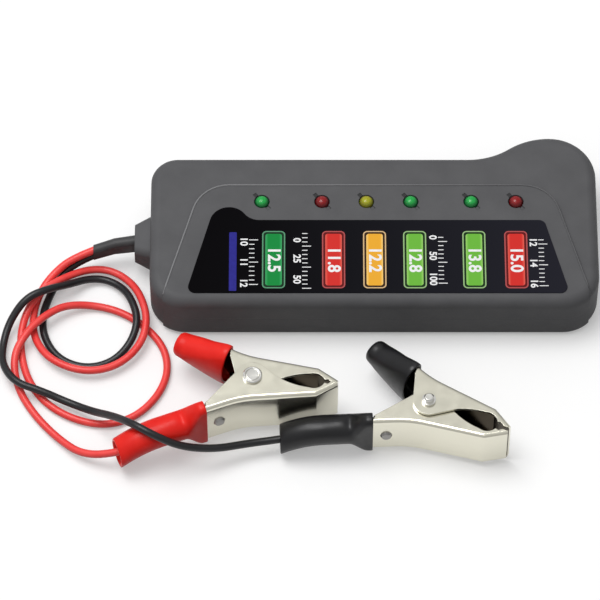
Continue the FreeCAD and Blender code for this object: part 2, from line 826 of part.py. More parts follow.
def screw(name, x, y, head_low, head_d, head_tall, thread_d, length):
    head = place(cylinder(name + "_head", head_d / 2, head_tall), x, y, head_low)
    shank_length = length - thread_d / 2
    shank = place(cylinder(name + "_shank", thread_d / 2, shank_length), x, y, head_low + head_tall)
    tip = doc.addObject("Part::Cone", name + "_tip")
    tip.Radius1 = number(thread_d / 2)
    tip.Radius2 = s.screw_tip.value
    tip.Height = number(thread_d / 2)
    bind(tip, "Radius1", thread_d / 2)
    bind(tip, "Radius2", s.screw_tip)
    bind(tip, "Height", thread_d / 2)
    place(tip, x, y, head_low + head_tall + shank_length)
    slot_long, slot_wide, slot_deep = head_d * 0.62, head_d * 0.14, head_tall * 0.6
    slot_a = box(name + "_slot_a", slot_long, slot_wide, slot_deep)
    place(slot_a, x - slot_long / 2, y - slot_wide / 2, head_low)
    slot_b = box(name + "_slot_b", slot_wide, slot_long, slot_deep)
    place(slot_b, x - slot_wide / 2, y - slot_long / 2, head_low)
    solid = fuse(name + "_solid", [head, shank, tip])
    return cut(name, solid, fuse(name + "_slots", [slot_a, slot_b]))


case_screws = [
    screw(
        f"case_screw_{i}", x, y, s.screw_recess - s.screw_head_tall, s.screw_head,
        s.screw_head_tall, s.screw_thread, s.screw_length - s.screw_head_tall,
    )
    for i, (x, y) in enumerate(screw_spots, start=1)
]
keep(group("case_screws", case_screws), "case_screws")

board_head_tall = s.board_screw_head * 0.36
board_screws = [
    screw(
        f"board_screw_{i}", x, y, board_low - board_head_tall, s.board_screw_head,
        board_head_tall, s.board_screw_thread, s.board_screw_length,
    )
    for i, (x, y) in enumerate(board_spots, start=1)
]
keep(group("board_screws", board_screws), "board_screws")

# Parts on the board
chip = place(
    box("comparator_chip", s.chip_long, s.chip_wide, s.chip_tall),
    s.chip_x - s.chip_long / 2, s.chip_y - s.chip_wide / 2, board_top + s.chip_stand,
)
keep(chip, "comparator_chip")
pins = []
for i in range(7):
    for side in (-1, 1):
        pin = box(f"chip_pin_{i}_{side + 1}", s.pin_wide, s.pin_thick, s.pin_tall)
        pin_x = s.chip_x + (i - 3) * s.pin_pitch - s.pin_wide / 2
        pin_y = s.chip_y + side * (s.chip_wide + s.pin_thick) / 2 - s.pin_thick / 2
        pins.append(place(pin, pin_x, pin_y, board_top))
keep(group("chip_pins", pins), "chip_pins")

resistors, resistor_legs = [], []
resistor_lift = s.resistor_diameter / 2 + s.resistor_stand
resistor_axis = board_top + resistor_lift
for i in range(8):
    part_x = s.resistor_first_x + i * s.resistor_step
    rod = cylinder(f"resistor_rod_{i}", s.resistor_diameter / 2, s.resistor_long)
    resistors.append(place(rod, part_x, s.resistor_y, resistor_axis, (1, 0, 0), -90))
    for side in (0, 1):
        face_y = s.resistor_y + side * s.resistor_long
        run = cylinder(f"resistor_run_{i}_{side}", s.resistor_leg / 2, s.resistor_reach)
        run_y = face_y - (1 - side) * s.resistor_reach
        place(run, part_x, run_y, resistor_axis, (1, 0, 0), -90)
        drop_tall = resistor_lift + s.resistor_leg / 2
        drop = cylinder(f"resistor_drop_{i}_{side}", s.resistor_leg / 2, drop_tall)
        drop_y = face_y + (2 * side - 1) * (s.resistor_reach - s.resistor_leg / 2)
        place(drop, part_x, drop_y, board_top)
        resistor_legs.append(fuse(f"resistor_leg_{i}_{side}", [run, drop]))
keep(group("resistors", resistors), "resistors")
keep(group("resistor_legs", resistor_legs), "resistor_legs")

diode_rod = cylinder("protection_diode", s.diode_diameter / 2, s.diode_long)
place(diode_rod, s.diode_x, s.diode_y, board_top + s.diode_diameter / 2, (1, 0, 0), -90)
keep(diode_rod, "protection_diode")
can = cylinder("filter_capacitor", s.capacitor_diameter / 2, s.capacitor_tall)
keep(place(can, s.capacitor_x, s.capacitor_y, board_top), "filter_capacitor")

# Strain relief: inner flange, neck in the nose, drooping taper outside
relief = new_body("strain_relief")
flange_sketch = sketch_on(relief, "YZ_Plane", "relief_flange_outline", s.case_wall - s.case_length / 2)
draw_loop(flange_sketch, rounded_rectangle(
    ZERO, s.split_height, s.relief_flange, s.relief_flange, s.nose_round))
pad(relief, flange_sketch, s.relief_flange_thick)
nose_face = -(s.case_length / 2 + s.nose_length)
relief_stations = [
    (s.case_wall - s.case_length / 2, ZERO, ZERO, s.relief_wide, s.relief_tall),
    (nose_face, ZERO, ZERO, s.relief_wide, s.relief_tall),
    (
        nose_face - s.relief_length / 2, s.relief_swing * 0.3, s.relief_droop * 0.3,
        (s.relief_wide + s.relief_end_wide) / 2, (s.relief_tall + s.relief_end_tall) / 2,
    ),
    (
        nose_face - s.relief_length, s.relief_swing, s.relief_droop,
        s.relief_end_wide, s.relief_end_tall,
    ),
]
relief_sections = []
for i, (offset, swing, droop, wide, tall) in enumerate(relief_stations):
    section = sketch_on(relief, "YZ_Plane", f"relief_section_{i}", offset)
    draw_loop(section, rounded_rectangle(
        -swing, s.split_height - droop, wide, tall, wide / 2 - s.arc_margin))
    relief_sections.append(section)
loft(relief, relief_sections)
keep(relief, "strain_relief")


# Leads

def least_gap(path, diameter, step):
    """Least clear space between stretches of one tube, on points along its path."""
    samples = path.discretize(Distance=step)
    apart = int((math.pi + 2) * diameter / step) + 1
    pairs = ((a, b) for i, a in enumerate(samples) for b in samples[i + apart:])
    return min((a - b).Length for a, b in pairs) - diameter


def lead_shape(name, points, diameter):
    """Round tube along straight runs joined by tangent arcs."""
    spots = [Vector(*p) for p in points]
    count = len(spots)
    cut_back = {}
    radii = []
    for i in range(1, count - 1):
        before = spots[i] - spots[i - 1]
        after = spots[i + 1] - spots[i]
        turn = before.getAngle(after)
        trim = 0.45 * min(before.Length, after.Length)
        radius = trim / math.tan(turn / 2)
        radii.append(radius)
        cut_back[i] = trim
    edges = []
    start = spots[0]
    for i in range(1, count - 1):
        before = (spots[i] - spots[i - 1]).normalize()
        after = (spots[i + 1] - spots[i]).normalize()
        trim = cut_back[i]
        enter = spots[i] - before * trim
        leave = spots[i] + after * trim
        turn = before.getAngle(after)
        radius = trim / math.tan(turn / 2)
        inward = (after - before).normalize()
        centre = spots[i] + inward * (radius / math.cos(turn / 2))
        middle = centre - inward * radius
        edges.append(Part.LineSegment(start, enter).toShape())
        edges.append(Part.Arc(enter, middle, leave).toShape())
        start = leave
    edges.append(Part.LineSegment(start, spots[-1]).toShape())
    path = Part.Wire(edges)
    direction = (spots[1] - spots[0]).normalize()
    ring = Part.Wire([Part.makeCircle(diameter / 2, spots[0], direction)])
    tube = path.makePipeShell([ring], True, False)
    want = math.pi * diameter ** 2 / 4 * path.Length
    print(
        f"{name}: length {path.Length:.1f}, least radius {min(radii):.1f}, "
        f"volume {tube.Volume:.0f} of {want:.0f}, least self gap {least_gap(path, diameter, 1.0):.2f}"
    )
    return tube


def lead(name, points, diameter):
    thing = doc.addObject("Part::Feature", name)
    thing.Shape = lead_shape(name, points, diameter.value)
    return keep(thing, name)


# Inner leads: from the flange over the board's left edge and down on their pads
half_pitch = s.wire_pitch.value / 2
split_z = s.split_height.value
flange_face = (s.case_wall + s.relief_flange_thick - s.case_length / 2).value
edge_gap = -s.board_left.value - flange_face
pad_top = board_top.value
rise = s.inner_wire_rise.value
red_high = split_z + half_pitch
red_in, red_y = s.red_pad_inset.value, s.red_pad_y.value
lead("inner_lead_red", [
    (flange_face, 0.0, red_high),
    (flange_face + edge_gap * 0.32, 0.0, red_high),
    (flange_face + edge_gap * 0.68, red_y * 0.38, red_high + rise * 0.46),
    (flange_face + edge_gap + red_in * 0.06, red_y * 0.77, pad_top + rise * 0.88),
    (flange_face + edge_gap + red_in * 0.6, red_y * 0.98, pad_top + rise),
    (flange_face + edge_gap + red_in, red_y, pad_top + rise * 0.7),
    (flange_face + edge_gap + red_in, red_y, pad_top),
], s.inner_wire_diameter)
black_low = split_z - half_pitch
black_in, black_y = s.black_pad_inset.value, s.black_pad_y.value
lead("inner_lead_black", [
    (flange_face, 0.0, black_low),
    (flange_face + edge_gap * 0.29, 0.0, black_low),
    (flange_face + edge_gap * 0.57, -black_y * 0.48, split_z),
    (flange_face + edge_gap * 0.86, -black_y * 0.32, pad_top + rise * 0.42),
    (flange_face + edge_gap + black_in * 0.33, black_y * 0.4, pad_top + rise * 0.83),
    (flange_face + edge_gap + black_in, black_y, pad_top + rise * 0.7),
    (flange_face + edge_gap + black_in, black_y, pad_top),
], s.inner_wire_diameter)


# Clamps

class Clamp:
    """Sizes shared by every piece of one clamp; the pivot is the local origin."""

    def __init__(self, colour, x, y, turn, moving_outside, tail_up):
        self.colour = colour
        self.x = x
        self.y = y
        self.turn = turn
        self.moving_outside = moving_outside
        self.tail_up = tail_up
        below = s.rivet_head_tall if tail_up else s.rivet_tail_tall
        self.z = s.clamp_width / 2 + below + s.rivet_gap

    def set_down(self, thing):
        return place(thing, self.x, self.y, self.z, (0, 0, 1), self.turn)

    def on_handle(self, side, along, out):
        """Placement whose x runs up the handle, y out of its web and z along the pivot."""
        angle = math.radians(s.handle_angle.value)
        axis_x = Vector(-math.cos(angle), side * math.sin(angle), 0)
        axis_y = Vector(math.sin(angle), side * math.cos(angle), 0)
        axis_z = axis_x.cross(axis_y)
        spin = FreeCAD.Rotation(axis_x, axis_y, axis_z, "XYZ")
        spot = axis_x * number(along) + axis_y * number(out)
        whole = FreeCAD.Placement(
            Vector(self.x.value, self.y.value, self.z.value),
            FreeCAD.Rotation(Vector(0, 0, 1), self.turn.value),
        )
        return whole.multiply(FreeCAD.Placement(spot, spin))

    def set_on_handle(self, thing, side, along, out):
        thing.Placement = self.on_handle(side, along, out)
        return thing

    def lead_tail(self):
        return [
            self.on_handle(-1, along, out).multVec(Vector(0, 0, up))
            for along, out, up in LEAD_TAIL
        ]


def web_points(side, handle_end):
    """Outer and inner lines of the web, from the handle end to the tip, curved at the shoulder."""
    handle, back, tip = s.handle_angle, s.back_angle, s.nose_angle
    root = handle_end - (s.shoulder_y * sin_of(handle) - s.shoulder_x * cos_of(handle))
    curve = s.shoulder_curve * tan_of((handle - back) / 2)

    def from_shoulder(along, angle):
        return (s.shoulder_x + along * cos_of(angle), s.shoulder_y - along * sin_of(angle))

    knee = from_shoulder(s.back_length, back)
    point = (knee[0] + s.nose_run * cos_of(tip), knee[1] - s.nose_run * sin_of(tip))

    def inward(spot, first, second):
        mean = (first + second) / 2
        size = s.clamp_sheet / cos_of((first - second) / 2)
        return (spot[0] - size * sin_of(mean), spot[1] - size * cos_of(mean))

    bends = [
        (from_shoulder(-root, handle), handle, handle),
        (from_shoulder(-curve, handle), handle, handle),
        (from_shoulder(curve, back), back, back),
        (knee, back, tip),
        (point, tip, tip),
    ]
    outer = [spot for spot, first, second in bends]
    inner = [inward(*bend) for bend in bends]
    return (
        [(x, y * side) for x, y in outer],
        [(x, y * side) for x, y in inner],
    )


def jaw(clamp, kind, side, sleeve_start, tongue_end, ear_angle, outside):
    """One stamped jaw: a U section with two ears on the rivet and a tongue for the sleeve."""
    name = f"{clamp.colour}_clamp_{kind}_jaw"
    width = s.clamp_width if outside else s.clamp_width - 2 * (s.clamp_sheet + s.clamp_side_gap)
    outer, inner = web_points(side, tongue_end)
    shoulder_along = s.shoulder_y * sin_of(s.handle_angle) - s.shoulder_x * cos_of(s.handle_angle)
    flange_end = sleeve_start + s.flange_lead - shoulder_along
    rise, run = sin_of(s.handle_angle), cos_of(s.handle_angle)

    def on_handle(along, depth):
        return (
            s.shoulder_x - along * run - depth * rise,
            (s.shoulder_y + along * rise - depth * run) * side,
        )

    ear_end = sleeve_start - s.ear_lead - shoulder_along
    tip_x = outer[4][0]
    lip = s.lip_half_gap
    tangent_x = s.lobe_radius * cos_of(s.lobe_tangent)
    tangent_y = s.lobe_radius * sin_of(s.lobe_tangent)
    mouth_x = s.lobe_radius / cos_of(s.lobe_tangent) + lip * tan_of(s.lobe_tangent)
    corners = [
        outer[0],
        inner[0],
        on_handle(flange_end, s.clamp_sheet),
        on_handle(flange_end, s.handle_depth),
        on_handle(ear_end, s.handle_depth),
        (
            -s.lobe_radius * cos_of(ear_angle), -s.lobe_radius * sin_of(ear_angle) * side,
            s.lobe_radius, side,
        ),
        (ZERO, -s.lobe_radius * side, s.lobe_radius, side),
        (tangent_x, -tangent_y * side),
        (mouth_x, lip * side, s.mouth_curve, -side),
        (tip_x - s.mouth_back, (lip + s.mouth_rise) * side, s.mouth_end_curve, -side),
        (tip_x - s.tooth_back, (lip + s.tooth_rise) * side),
        (tip_x - s.notch_back, (lip + s.notch_rise) * side),
        (tip_x - s.lip_long, (lip + s.lip_step) * side),
        (tip_x - s.lip_end, (lip + s.lip_step) * side),
        outer[4],
        outer[3],
        (*outer[2], s.shoulder_curve, -side),
        outer[1],
    ]
    body = new_body(name + "_body")
    profile = sketch_on(body, "XY_Plane", name + "_profile")
    draw_loop(profile, corners)
    block = pad(body, profile, width, midplane=True)

    def on_web(edge):
        if len(edge.Vertexes) < 2 or abs(edge.Vertexes[0].Z - edge.Vertexes[1].Z) > 1e-4:
            return False
        spot = middle_of(edge)
        for a, b in zip(outer, outer[1:]):
            mid_x = (number(a[0]) + number(b[0])) / 2
            mid_y = (number(a[1]) + number(b[1])) / 2
            if math.hypot(spot.x - mid_x, spot.y - mid_y) < s.clamp_sheet.value / 2:
                return True
        return False

    round_edges(body, block, s.clamp_bend, on_web)
    hollow_out = sketch_on(body, "XY_Plane", name + "_channel")
    past = s.clamp_sheet * 4
    draw_loop(hollow_out, [
        (inner[0][0] - past * run, inner[0][1] + past * rise * side),
        (*inner[1], s.shoulder_curve + s.clamp_sheet, side),
        inner[2],
        inner[3],
        (
            inner[4][0] + past * cos_of(s.nose_angle),
            inner[4][1] - past * sin_of(s.nose_angle) * side,
        ),
        (tip_x + past, -s.lobe_radius * 3 * side),
        (inner[0][0] - past, -s.lobe_radius * 3 * side),
    ])
    pocket(body, hollow_out, width - 2 * s.clamp_sheet)
    taper_start = s.shoulder_x - (sleeve_start + s.tongue_lead - shoulder_along) * run
    for level in (-1, 1):
        trim = sketch_on(body, "XZ_Plane", f"{name}_trim_{level + 1}")
        draw_loop(trim, [
            (taper_start, (width / 2 + s.trim_margin) * level),
            (taper_start - s.tongue_taper * run, s.tongue_width / 2 * level),
            (outer[0][0] - past, s.tongue_width / 2 * level),
            (outer[0][0] - past, (width / 2 + s.cut_past) * level),
            (taper_start, (width / 2 + s.cut_past) * level),
        ])
        pocket(body, trim, s.case_length)
    hole = sketch_on(body, "XY_Plane", name + "_rivet_hole")
    draw_circle(hole, ZERO, ZERO, s.rivet_hole / 2)
    pocket(body, hole, s.clamp_width * 2)
    return clamp.set_down(body)


def sleeve(clamp, kind, side, start, end, outside):
    """Soft sleeve: a flared mouth over the jaw, then a tube that sags or a closed cone."""
    name = f"{clamp.colour}_clamp_{kind}_sleeve"
    width = s.clamp_width if outside else s.clamp_width - 2 * (s.clamp_sheet + s.clamp_side_gap)
    web_out = s.shoulder_x * sin_of(s.handle_angle) + s.shoulder_y * cos_of(s.handle_angle)
    mouth_out = web_out - s.handle_depth / 2
    long = end - start
    if kind == "fixed":
        flare, tube_inner, tube_out = s.sleeve_flare, s.fixed_tube_inner, web_out - s.fixed_tube_centre
    else:
        flare, tube_inner, tube_out = s.moving_flare, s.moving_tube_inner, web_out - s.moving_tube_centre
    body = new_body(name)
    for layer, kind_of, extra, cap in (
        ("skin", "Additive", s.sleeve_wall, ZERO),
        ("room", "Subtractive", ZERO, s.sleeve_cap),
    ):
        mouth_tall = width + 2 * (s.sleeve_gap + extra)
        mouth_deep = s.handle_depth + 2 * (s.sleeve_gap + extra)
        mouth_round = s.clamp_bend + extra
        tube = tube_inner + extra
        tip = s.sleeve_tip_inner + extra
        stations = [
            (ZERO, mouth_tall, mouth_deep, mouth_out, mouth_round, ZERO),
            (s.sleeve_gap * 7, mouth_tall, mouth_deep, mouth_out, mouth_round, ZERO),
            (flare, tube * 2, tube * 2, tube_out, tube - s.arc_margin, ZERO),
        ]
        if kind == "fixed":
            for share, sag in ((0.5, ZERO), (0.75, s.sleeve_sag * 0.3), (1.0, s.sleeve_sag)):
                stations.append((long * share, tube * 2, tube * 2, tube_out, tube - s.arc_margin, sag))
        else:
            stations.append((long - cap, tip * 2, tip * 2, tube_out, tip - s.arc_margin, ZERO))
        sections = []
        for i, (along, tall, deep, out, radius, sag) in enumerate(stations):
            section = sketch_on(body, "YZ_Plane", f"{name}_{layer}_{i}", along)
            draw_loop(section, rounded_rectangle(out, -sag, deep, tall, radius))
            sections.append(section)
        loft(body, sections, kind_of)
    clamp.set_on_handle(body, side, start, 0.0)
    return keep(body, name)


def rivet(clamp):
    """Pivot rivet with a flat ringed head at one end and a collared tail at the other."""
    name = f"{clamp.colour}_clamp_rivet"
    up = 1 if clamp.tail_up else -1
    seat = s.clamp_width / 2 + s.rivet_gap
    shank = s.rivet_diameter / 2
    face = -(seat + s.rivet_head_tall) * up
    ring_half = s.rivet_ring_wide / 2
    body = new_body(name)
    profile = sketch_on(body, "XZ_Plane", name + "_profile")
    draw_loop(profile, [
        (ZERO, face),
        (s.rivet_ring - ring_half, face),
        (s.rivet_ring, face + s.rivet_ring_deep * up),
        (s.rivet_ring + ring_half, face),
        (s.rivet_head / 2 - s.rivet_head_bevel, face),
        (s.rivet_head / 2, -(seat + s.rivet_head_tall - s.rivet_head_bevel) * up),
        (s.rivet_head / 2, -seat * up),
        (shank, -seat * up),
        (shank, seat * up),
        (s.rivet_collar / 2, seat * up),
        (s.rivet_collar / 2, (seat + s.rivet_collar_tall) * up),
        (s.rivet_tail / 2, (seat + s.rivet_collar_tall) * up),
        (s.rivet_tail / 2, (seat + s.rivet_tail_tall - s.rivet_tail_bevel) * up),
        (s.rivet_tail / 2 - s.rivet_tail_bevel, (seat + s.rivet_tail_tall) * up),
        (ZERO, (seat + s.rivet_tail_tall) * up),
    ])
    revolve(body, profile)
    return keep(clamp.set_down(body), name)


def spring(clamp):
    """Torsion spring: a coil round the rivet with one straight leg in each handle."""
    name = f"{clamp.colour}_clamp_spring"
    leg_angle = 90 - s.handle_angle.value - s.spring_lean.value
    pitch = s.spring_pitch.value
    leg = s.spring_leg.value
    turns = 4 + 2 * leg_angle / 360
    coil = Part.makeHelix(pitch, pitch * turns, s.spring_radius.value)
    coil.Placement = FreeCAD.Placement(
        Vector(0, 0, -pitch * turns / 2), FreeCAD.Rotation(Vector(0, 0, 1), -leg_angle)
    )
    first, last = coil.Edges[0], coil.Edges[-1]
    low, high = first.valueAt(first.FirstParameter), last.valueAt(last.LastParameter)
    low_way = first.tangentAt(first.FirstParameter)
    high_way = last.tangentAt(last.LastParameter)
    start = low - low_way * leg
    line = Part.Wire(
        [Part.LineSegment(start, low).toShape()]
        + coil.Edges
        + [Part.LineSegment(high, high + high_way * leg).toShape()]
    )
    ring = Part.Wire([Part.makeCircle(s.spring_wire.value / 2, start, low_way)])
    print(f"{name}: least self gap {least_gap(line, s.spring_wire.value, 0.25):.2f}")
    thing = doc.addObject("Part::Feature", name)
    thing.Shape = line.makePipeShell([ring], True, True)
    return keep(clamp.set_down(thing), name)


def terminal(clamp, side):
    """Crimped ring terminal on the inner face of the fixed web, held by a small rivet."""
    name = f"{clamp.colour}_clamp_terminal"
    web_out = s.shoulder_x * sin_of(s.handle_angle) + s.shoulder_y * cos_of(s.handle_angle)
    face_out = web_out - s.clamp_sheet
    ring = cylinder(name + "_ring", s.terminal_ring / 2, s.terminal_thick)
    place(ring, s.terminal_at, face_out - s.terminal_thick, ZERO, (1, 0, 0), -90.0)
    neck_wide = s.terminal_barrel * 0.9
    neck_long = s.terminal_end - s.terminal_at - s.terminal_barrel_long / 2
    neck = box(name + "_neck", neck_long, s.terminal_thick, neck_wide)
    place(neck, s.terminal_at, face_out - s.terminal_thick, -neck_wide / 2)
    barrel = cylinder(name + "_barrel", s.terminal_barrel / 2, s.terminal_barrel_long)
    barrel_start = s.terminal_end - s.terminal_barrel_long
    barrel_out = face_out - s.terminal_barrel / 2 - s.terminal_gap
    place(barrel, barrel_start, barrel_out, ZERO, (0, 1, 0), 90.0)
    eye = cylinder(name + "_eye", s.terminal_rivet / 2 + s.terminal_rivet_gap, s.terminal_thick * 3)
    place(eye, s.terminal_at, face_out - s.terminal_thick * 2, ZERO, (1, 0, 0), -90.0)
    solid = fuse(name + "_solid", [ring, neck, barrel])
    whole = cut(name, solid, eye)
    keep(clamp.set_on_handle(whole, side, 0.0, 0.0), name)

    pin = new_body(f"{clamp.colour}_clamp_wire_rivet")
    profile = sketch_on(pin, "XY_Plane", f"{clamp.colour}_clamp_wire_rivet_profile")
    head = s.terminal_rivet_head / 2
    shank = s.terminal_rivet / 2
    inside = face_out - s.terminal_thick
    draw_loop(profile, [
        (ZERO, inside - s.terminal_rivet_tail),
        (head - s.terminal_rivet_bevel * 0.8, inside - s.terminal_rivet_tail),
        (head - s.terminal_rivet_bevel * 0.4, inside),
        (shank, inside),
        (shank, web_out),
        (head, web_out),
        (head - s.terminal_rivet_bevel, web_out + s.terminal_rivet_tall),
        (ZERO, web_out + s.terminal_rivet_tall),
    ])
    revolve(pin, profile)
    clamp.set_on_handle(pin, side, s.terminal_at, 0.0)
    return keep(pin, f"{clamp.colour}_clamp_wire_rivet")


def build_clamp(clamp):
    moving = jaw(
        clamp, "moving", 1, s.moving_sleeve_start, s.moving_tongue_end, s.moving_ear_angle,
        clamp.moving_outside,
    )
    keep(moving, f"{clamp.colour}_clamp_moving_jaw")
    fixed_body = jaw(
        clamp, "fixed", -1, s.fixed_sleeve_start, s.fixed_tongue_end, s.fixed_ear_angle,
        not clamp.moving_outside,
    )
    drill_r = s.terminal_rivet / 2 + s.terminal_rivet_gap
    drill = cylinder(f"{clamp.colour}_clamp_drill", drill_r, s.lobe_radius * 4)
    hole_at = FreeCAD.Placement(Vector(0, 0, 0), FreeCAD.Rotation(Vector(1, 0, 0), -90))
    clamp.set_on_handle(drill, -1, s.terminal_at, s.terminal_rivet)
    drill.Placement = drill.Placement.multiply(hole_at)
    keep(
        cut(f"{clamp.colour}_clamp_fixed_jaw", fixed_body, drill),
        f"{clamp.colour}_clamp_fixed_jaw",
    )
    rivet(clamp)
    spring(clamp)
    sleeve(
        clamp, "moving", 1, s.moving_sleeve_start, s.moving_sleeve_end, clamp.moving_outside)
    sleeve(
        clamp, "fixed", -1, s.fixed_sleeve_start, s.fixed_sleeve_end, not clamp.moving_outside)
    terminal(clamp, -1)


black = Clamp("black", s.black_clamp_x, s.black_clamp_y, s.black_clamp_turn, True, True)
red = Clamp("red", s.red_clamp_x, s.red_clamp_y, s.red_clamp_turn, False, False)
build_clamp(black)
build_clamp(red)
lead("red_lead", RED_LEAD + red.lead_tail(), s.wire_diameter)
lead("black_lead", BLACK_LEAD + black.lead_tail(), s.wire_diameter)

doc.recompute()

# Nothing is written unless every object is sound
for thing in doc.Objects:
    if "Invalid" in thing.State or "Error" in thing.State:
        raise RuntimeError(f"{thing.Label} did not build: {thing.State}")
for thing in SUBPARTS:
    shape = thing.Shape
    if shape.isNull() or not shape.isValid():
        raise RuntimeError(f"{thing.Label} has no sound shape")

os.makedirs("parts", exist_ok=True)
for thing in SUBPARTS:
    thing.Shape.exportStep(f"parts/{thing.Label}.step")
    room = thing.Shape.BoundBox
    print(
        f"{thing.Label}: {len(thing.Shape.Solids)} solid(s), {thing.Shape.Volume:.0f} mm3, "
        f"x {room.XMin:.1f}..{room.XMax:.1f} y {room.YMin:.1f}..{room.YMax:.1f} "
        f"z {room.ZMin:.1f}..{room.ZMax:.1f}"
    )
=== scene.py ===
"""Looks of the battery tester: camera, light, leads, sleeves, springs, panel print and materials.

Lengths are millimetres until they reach a mesh, which is in metres. The stage is in metres.
"""
import json
import math

import bmesh
import bpy
from mathutils import Matrix, Vector


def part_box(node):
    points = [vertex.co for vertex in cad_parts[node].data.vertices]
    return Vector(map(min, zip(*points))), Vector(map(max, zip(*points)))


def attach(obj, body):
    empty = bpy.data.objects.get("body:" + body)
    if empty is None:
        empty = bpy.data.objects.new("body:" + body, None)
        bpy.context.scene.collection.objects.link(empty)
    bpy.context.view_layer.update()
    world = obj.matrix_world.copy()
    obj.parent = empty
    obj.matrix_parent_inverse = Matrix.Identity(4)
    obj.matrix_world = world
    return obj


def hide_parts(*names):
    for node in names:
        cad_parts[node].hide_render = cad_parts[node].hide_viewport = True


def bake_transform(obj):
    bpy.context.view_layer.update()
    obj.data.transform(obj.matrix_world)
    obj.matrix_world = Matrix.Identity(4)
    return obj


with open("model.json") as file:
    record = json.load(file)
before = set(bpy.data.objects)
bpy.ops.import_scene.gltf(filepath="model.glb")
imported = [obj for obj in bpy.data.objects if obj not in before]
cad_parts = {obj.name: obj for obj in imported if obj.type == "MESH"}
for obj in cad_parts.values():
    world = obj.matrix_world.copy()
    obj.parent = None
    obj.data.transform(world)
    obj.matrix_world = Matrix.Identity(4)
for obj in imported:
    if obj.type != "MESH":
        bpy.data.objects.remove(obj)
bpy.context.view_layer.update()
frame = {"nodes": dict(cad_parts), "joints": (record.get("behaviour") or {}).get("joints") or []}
nodes = frame["nodes"]
scene = bpy.context.scene
MM = 0.001
label_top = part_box("label_overlay")[1].z / MM
case_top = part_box("front_shell")[1].z / MM

# Camera and stage

VIEW_TARGET = Vector((-24.8, -15.8, 0.0)) * MM
VIEW_DISTANCE = 1600.0 * MM
VIEW_ELEVATION = math.radians(58.5)
VIEW_WIDTH = 202.0 * MM
SENSOR = 36.0
KEY_SPOT = Vector((-0.38, 0.16, 1.27))
KEY_TARGET = Vector((-0.02, -0.02, 0.0))
KEY_SIZE = 0.8
KEY_POWER = 10.6
SKY_LEAN = Vector((-0.34, 0.1, 0.93))
SKY_LIGHT = [(0.0, 0.15), (1.0, 0.78)]
SKY_MIRROR = [(0.0, 0.5), (0.5, 0.55), (0.85, 0.72), (1.0, 0.9)]
FLOOR_HALF = 4.0
FLOOR_LEVEL = -0.05 * MM
FLOOR_BOUNCE = 0.22
FLOOR_GLOW = 0.28
FLOOR_PAPER = 1.0 - FLOOR_GLOW


def link(thing):
    scene.collection.objects.link(thing)
    return thing


def aim(thing, spot, target):
    thing.location = spot
    thing.rotation_euler = (target - spot).to_track_quat("-Z", "Y").to_euler()


def add_camera():
    data = bpy.data.cameras.new("view")
    data.sensor_width = SENSOR
    data.lens = SENSOR * VIEW_DISTANCE / VIEW_WIDTH
    camera = link(bpy.data.objects.new("view", data))
    back = Vector((0.0, -math.cos(VIEW_ELEVATION), math.sin(VIEW_ELEVATION)))
    aim(camera, VIEW_TARGET + back * VIEW_DISTANCE, VIEW_TARGET)
    scene.camera = camera


def add_key_light():
    data = bpy.data.lights.new("key", "AREA")
    data.size = KEY_SIZE
    data.energy = KEY_POWER
    aim(link(bpy.data.objects.new("key", data)), KEY_SPOT, KEY_TARGET)


def seen_rays(tree):
    """Sockets that are one for a ray from the eye, and for one from the eye, a mirror or clear resin."""
    rays = tree.nodes.new("ShaderNodeLightPath")
    eye = rays.outputs["Is Camera Ray"]
    seen = eye
    for kind in ("Is Glossy Ray", "Is Transmission Ray"):
        either = tree.nodes.new("ShaderNodeMath")
        either.operation = "MAXIMUM"
        tree.links.new(seen, either.inputs[0])
        tree.links.new(rays.outputs[kind], either.inputs[1])
        seen = either.outputs[0]
    return eye, seen


def blend_number(tree, factor, low, high):
    """Number between low and high, either of which may be a socket."""
    node = tree.nodes.new("ShaderNodeMix")
    tree.links.new(factor, node.inputs["Factor"])
    for socket, item in ((node.inputs["A"], low), (node.inputs["B"], high)):
        if isinstance(item, float):
            socket.default_value = item
        else:
            tree.links.new(item, socket)
    return node.outputs["Result"]


def fill_ramp(tree, factor, stops):
    """Output of a colour ramp with (place, colour) stops."""
    ramp = tree.nodes.new("ShaderNodeValToRGB")
    elements = ramp.color_ramp.elements
    while len(elements) < len(stops):
        elements.new(0.5)
    for element, (spot, tint) in zip(elements, stops):
        element.position = spot
        element.color = tint
    tree.links.new(factor, ramp.inputs["Fac"])
    return ramp.outputs["Color"]


def grey(level):
    return (level, level, level, 1.0)


def add_sky():
    """White for the eye, one soft gradient in mirrors and a dimmer one as light."""
    sky = bpy.data.worlds.new("studio")
    scene.world = sky
    sky.use_nodes = True
    tree = sky.node_tree
    shade = tree.nodes["Background"]
    shade.inputs["Color"].default_value = grey(1.0)
    way = tree.nodes.new("ShaderNodeTexCoord")
    rise = tree.nodes.new("ShaderNodeVectorMath")
    rise.operation = "DOT_PRODUCT"
    rise.inputs[1].default_value = SKY_LEAN
    tree.links.new(way.outputs["Generated"], rise.inputs[0])
    light, mirror = (
        fill_ramp(tree, rise.outputs["Value"], [(spot, grey(level)) for spot, level in stops])
        for stops in (SKY_LIGHT, SKY_MIRROR)
    )
    eye, seen = seen_rays(tree)
    strength = blend_number(tree, seen, light, blend_number(tree, eye, mirror, 1.0))
    tree.links.new(strength, shade.inputs["Strength"])


# Materials

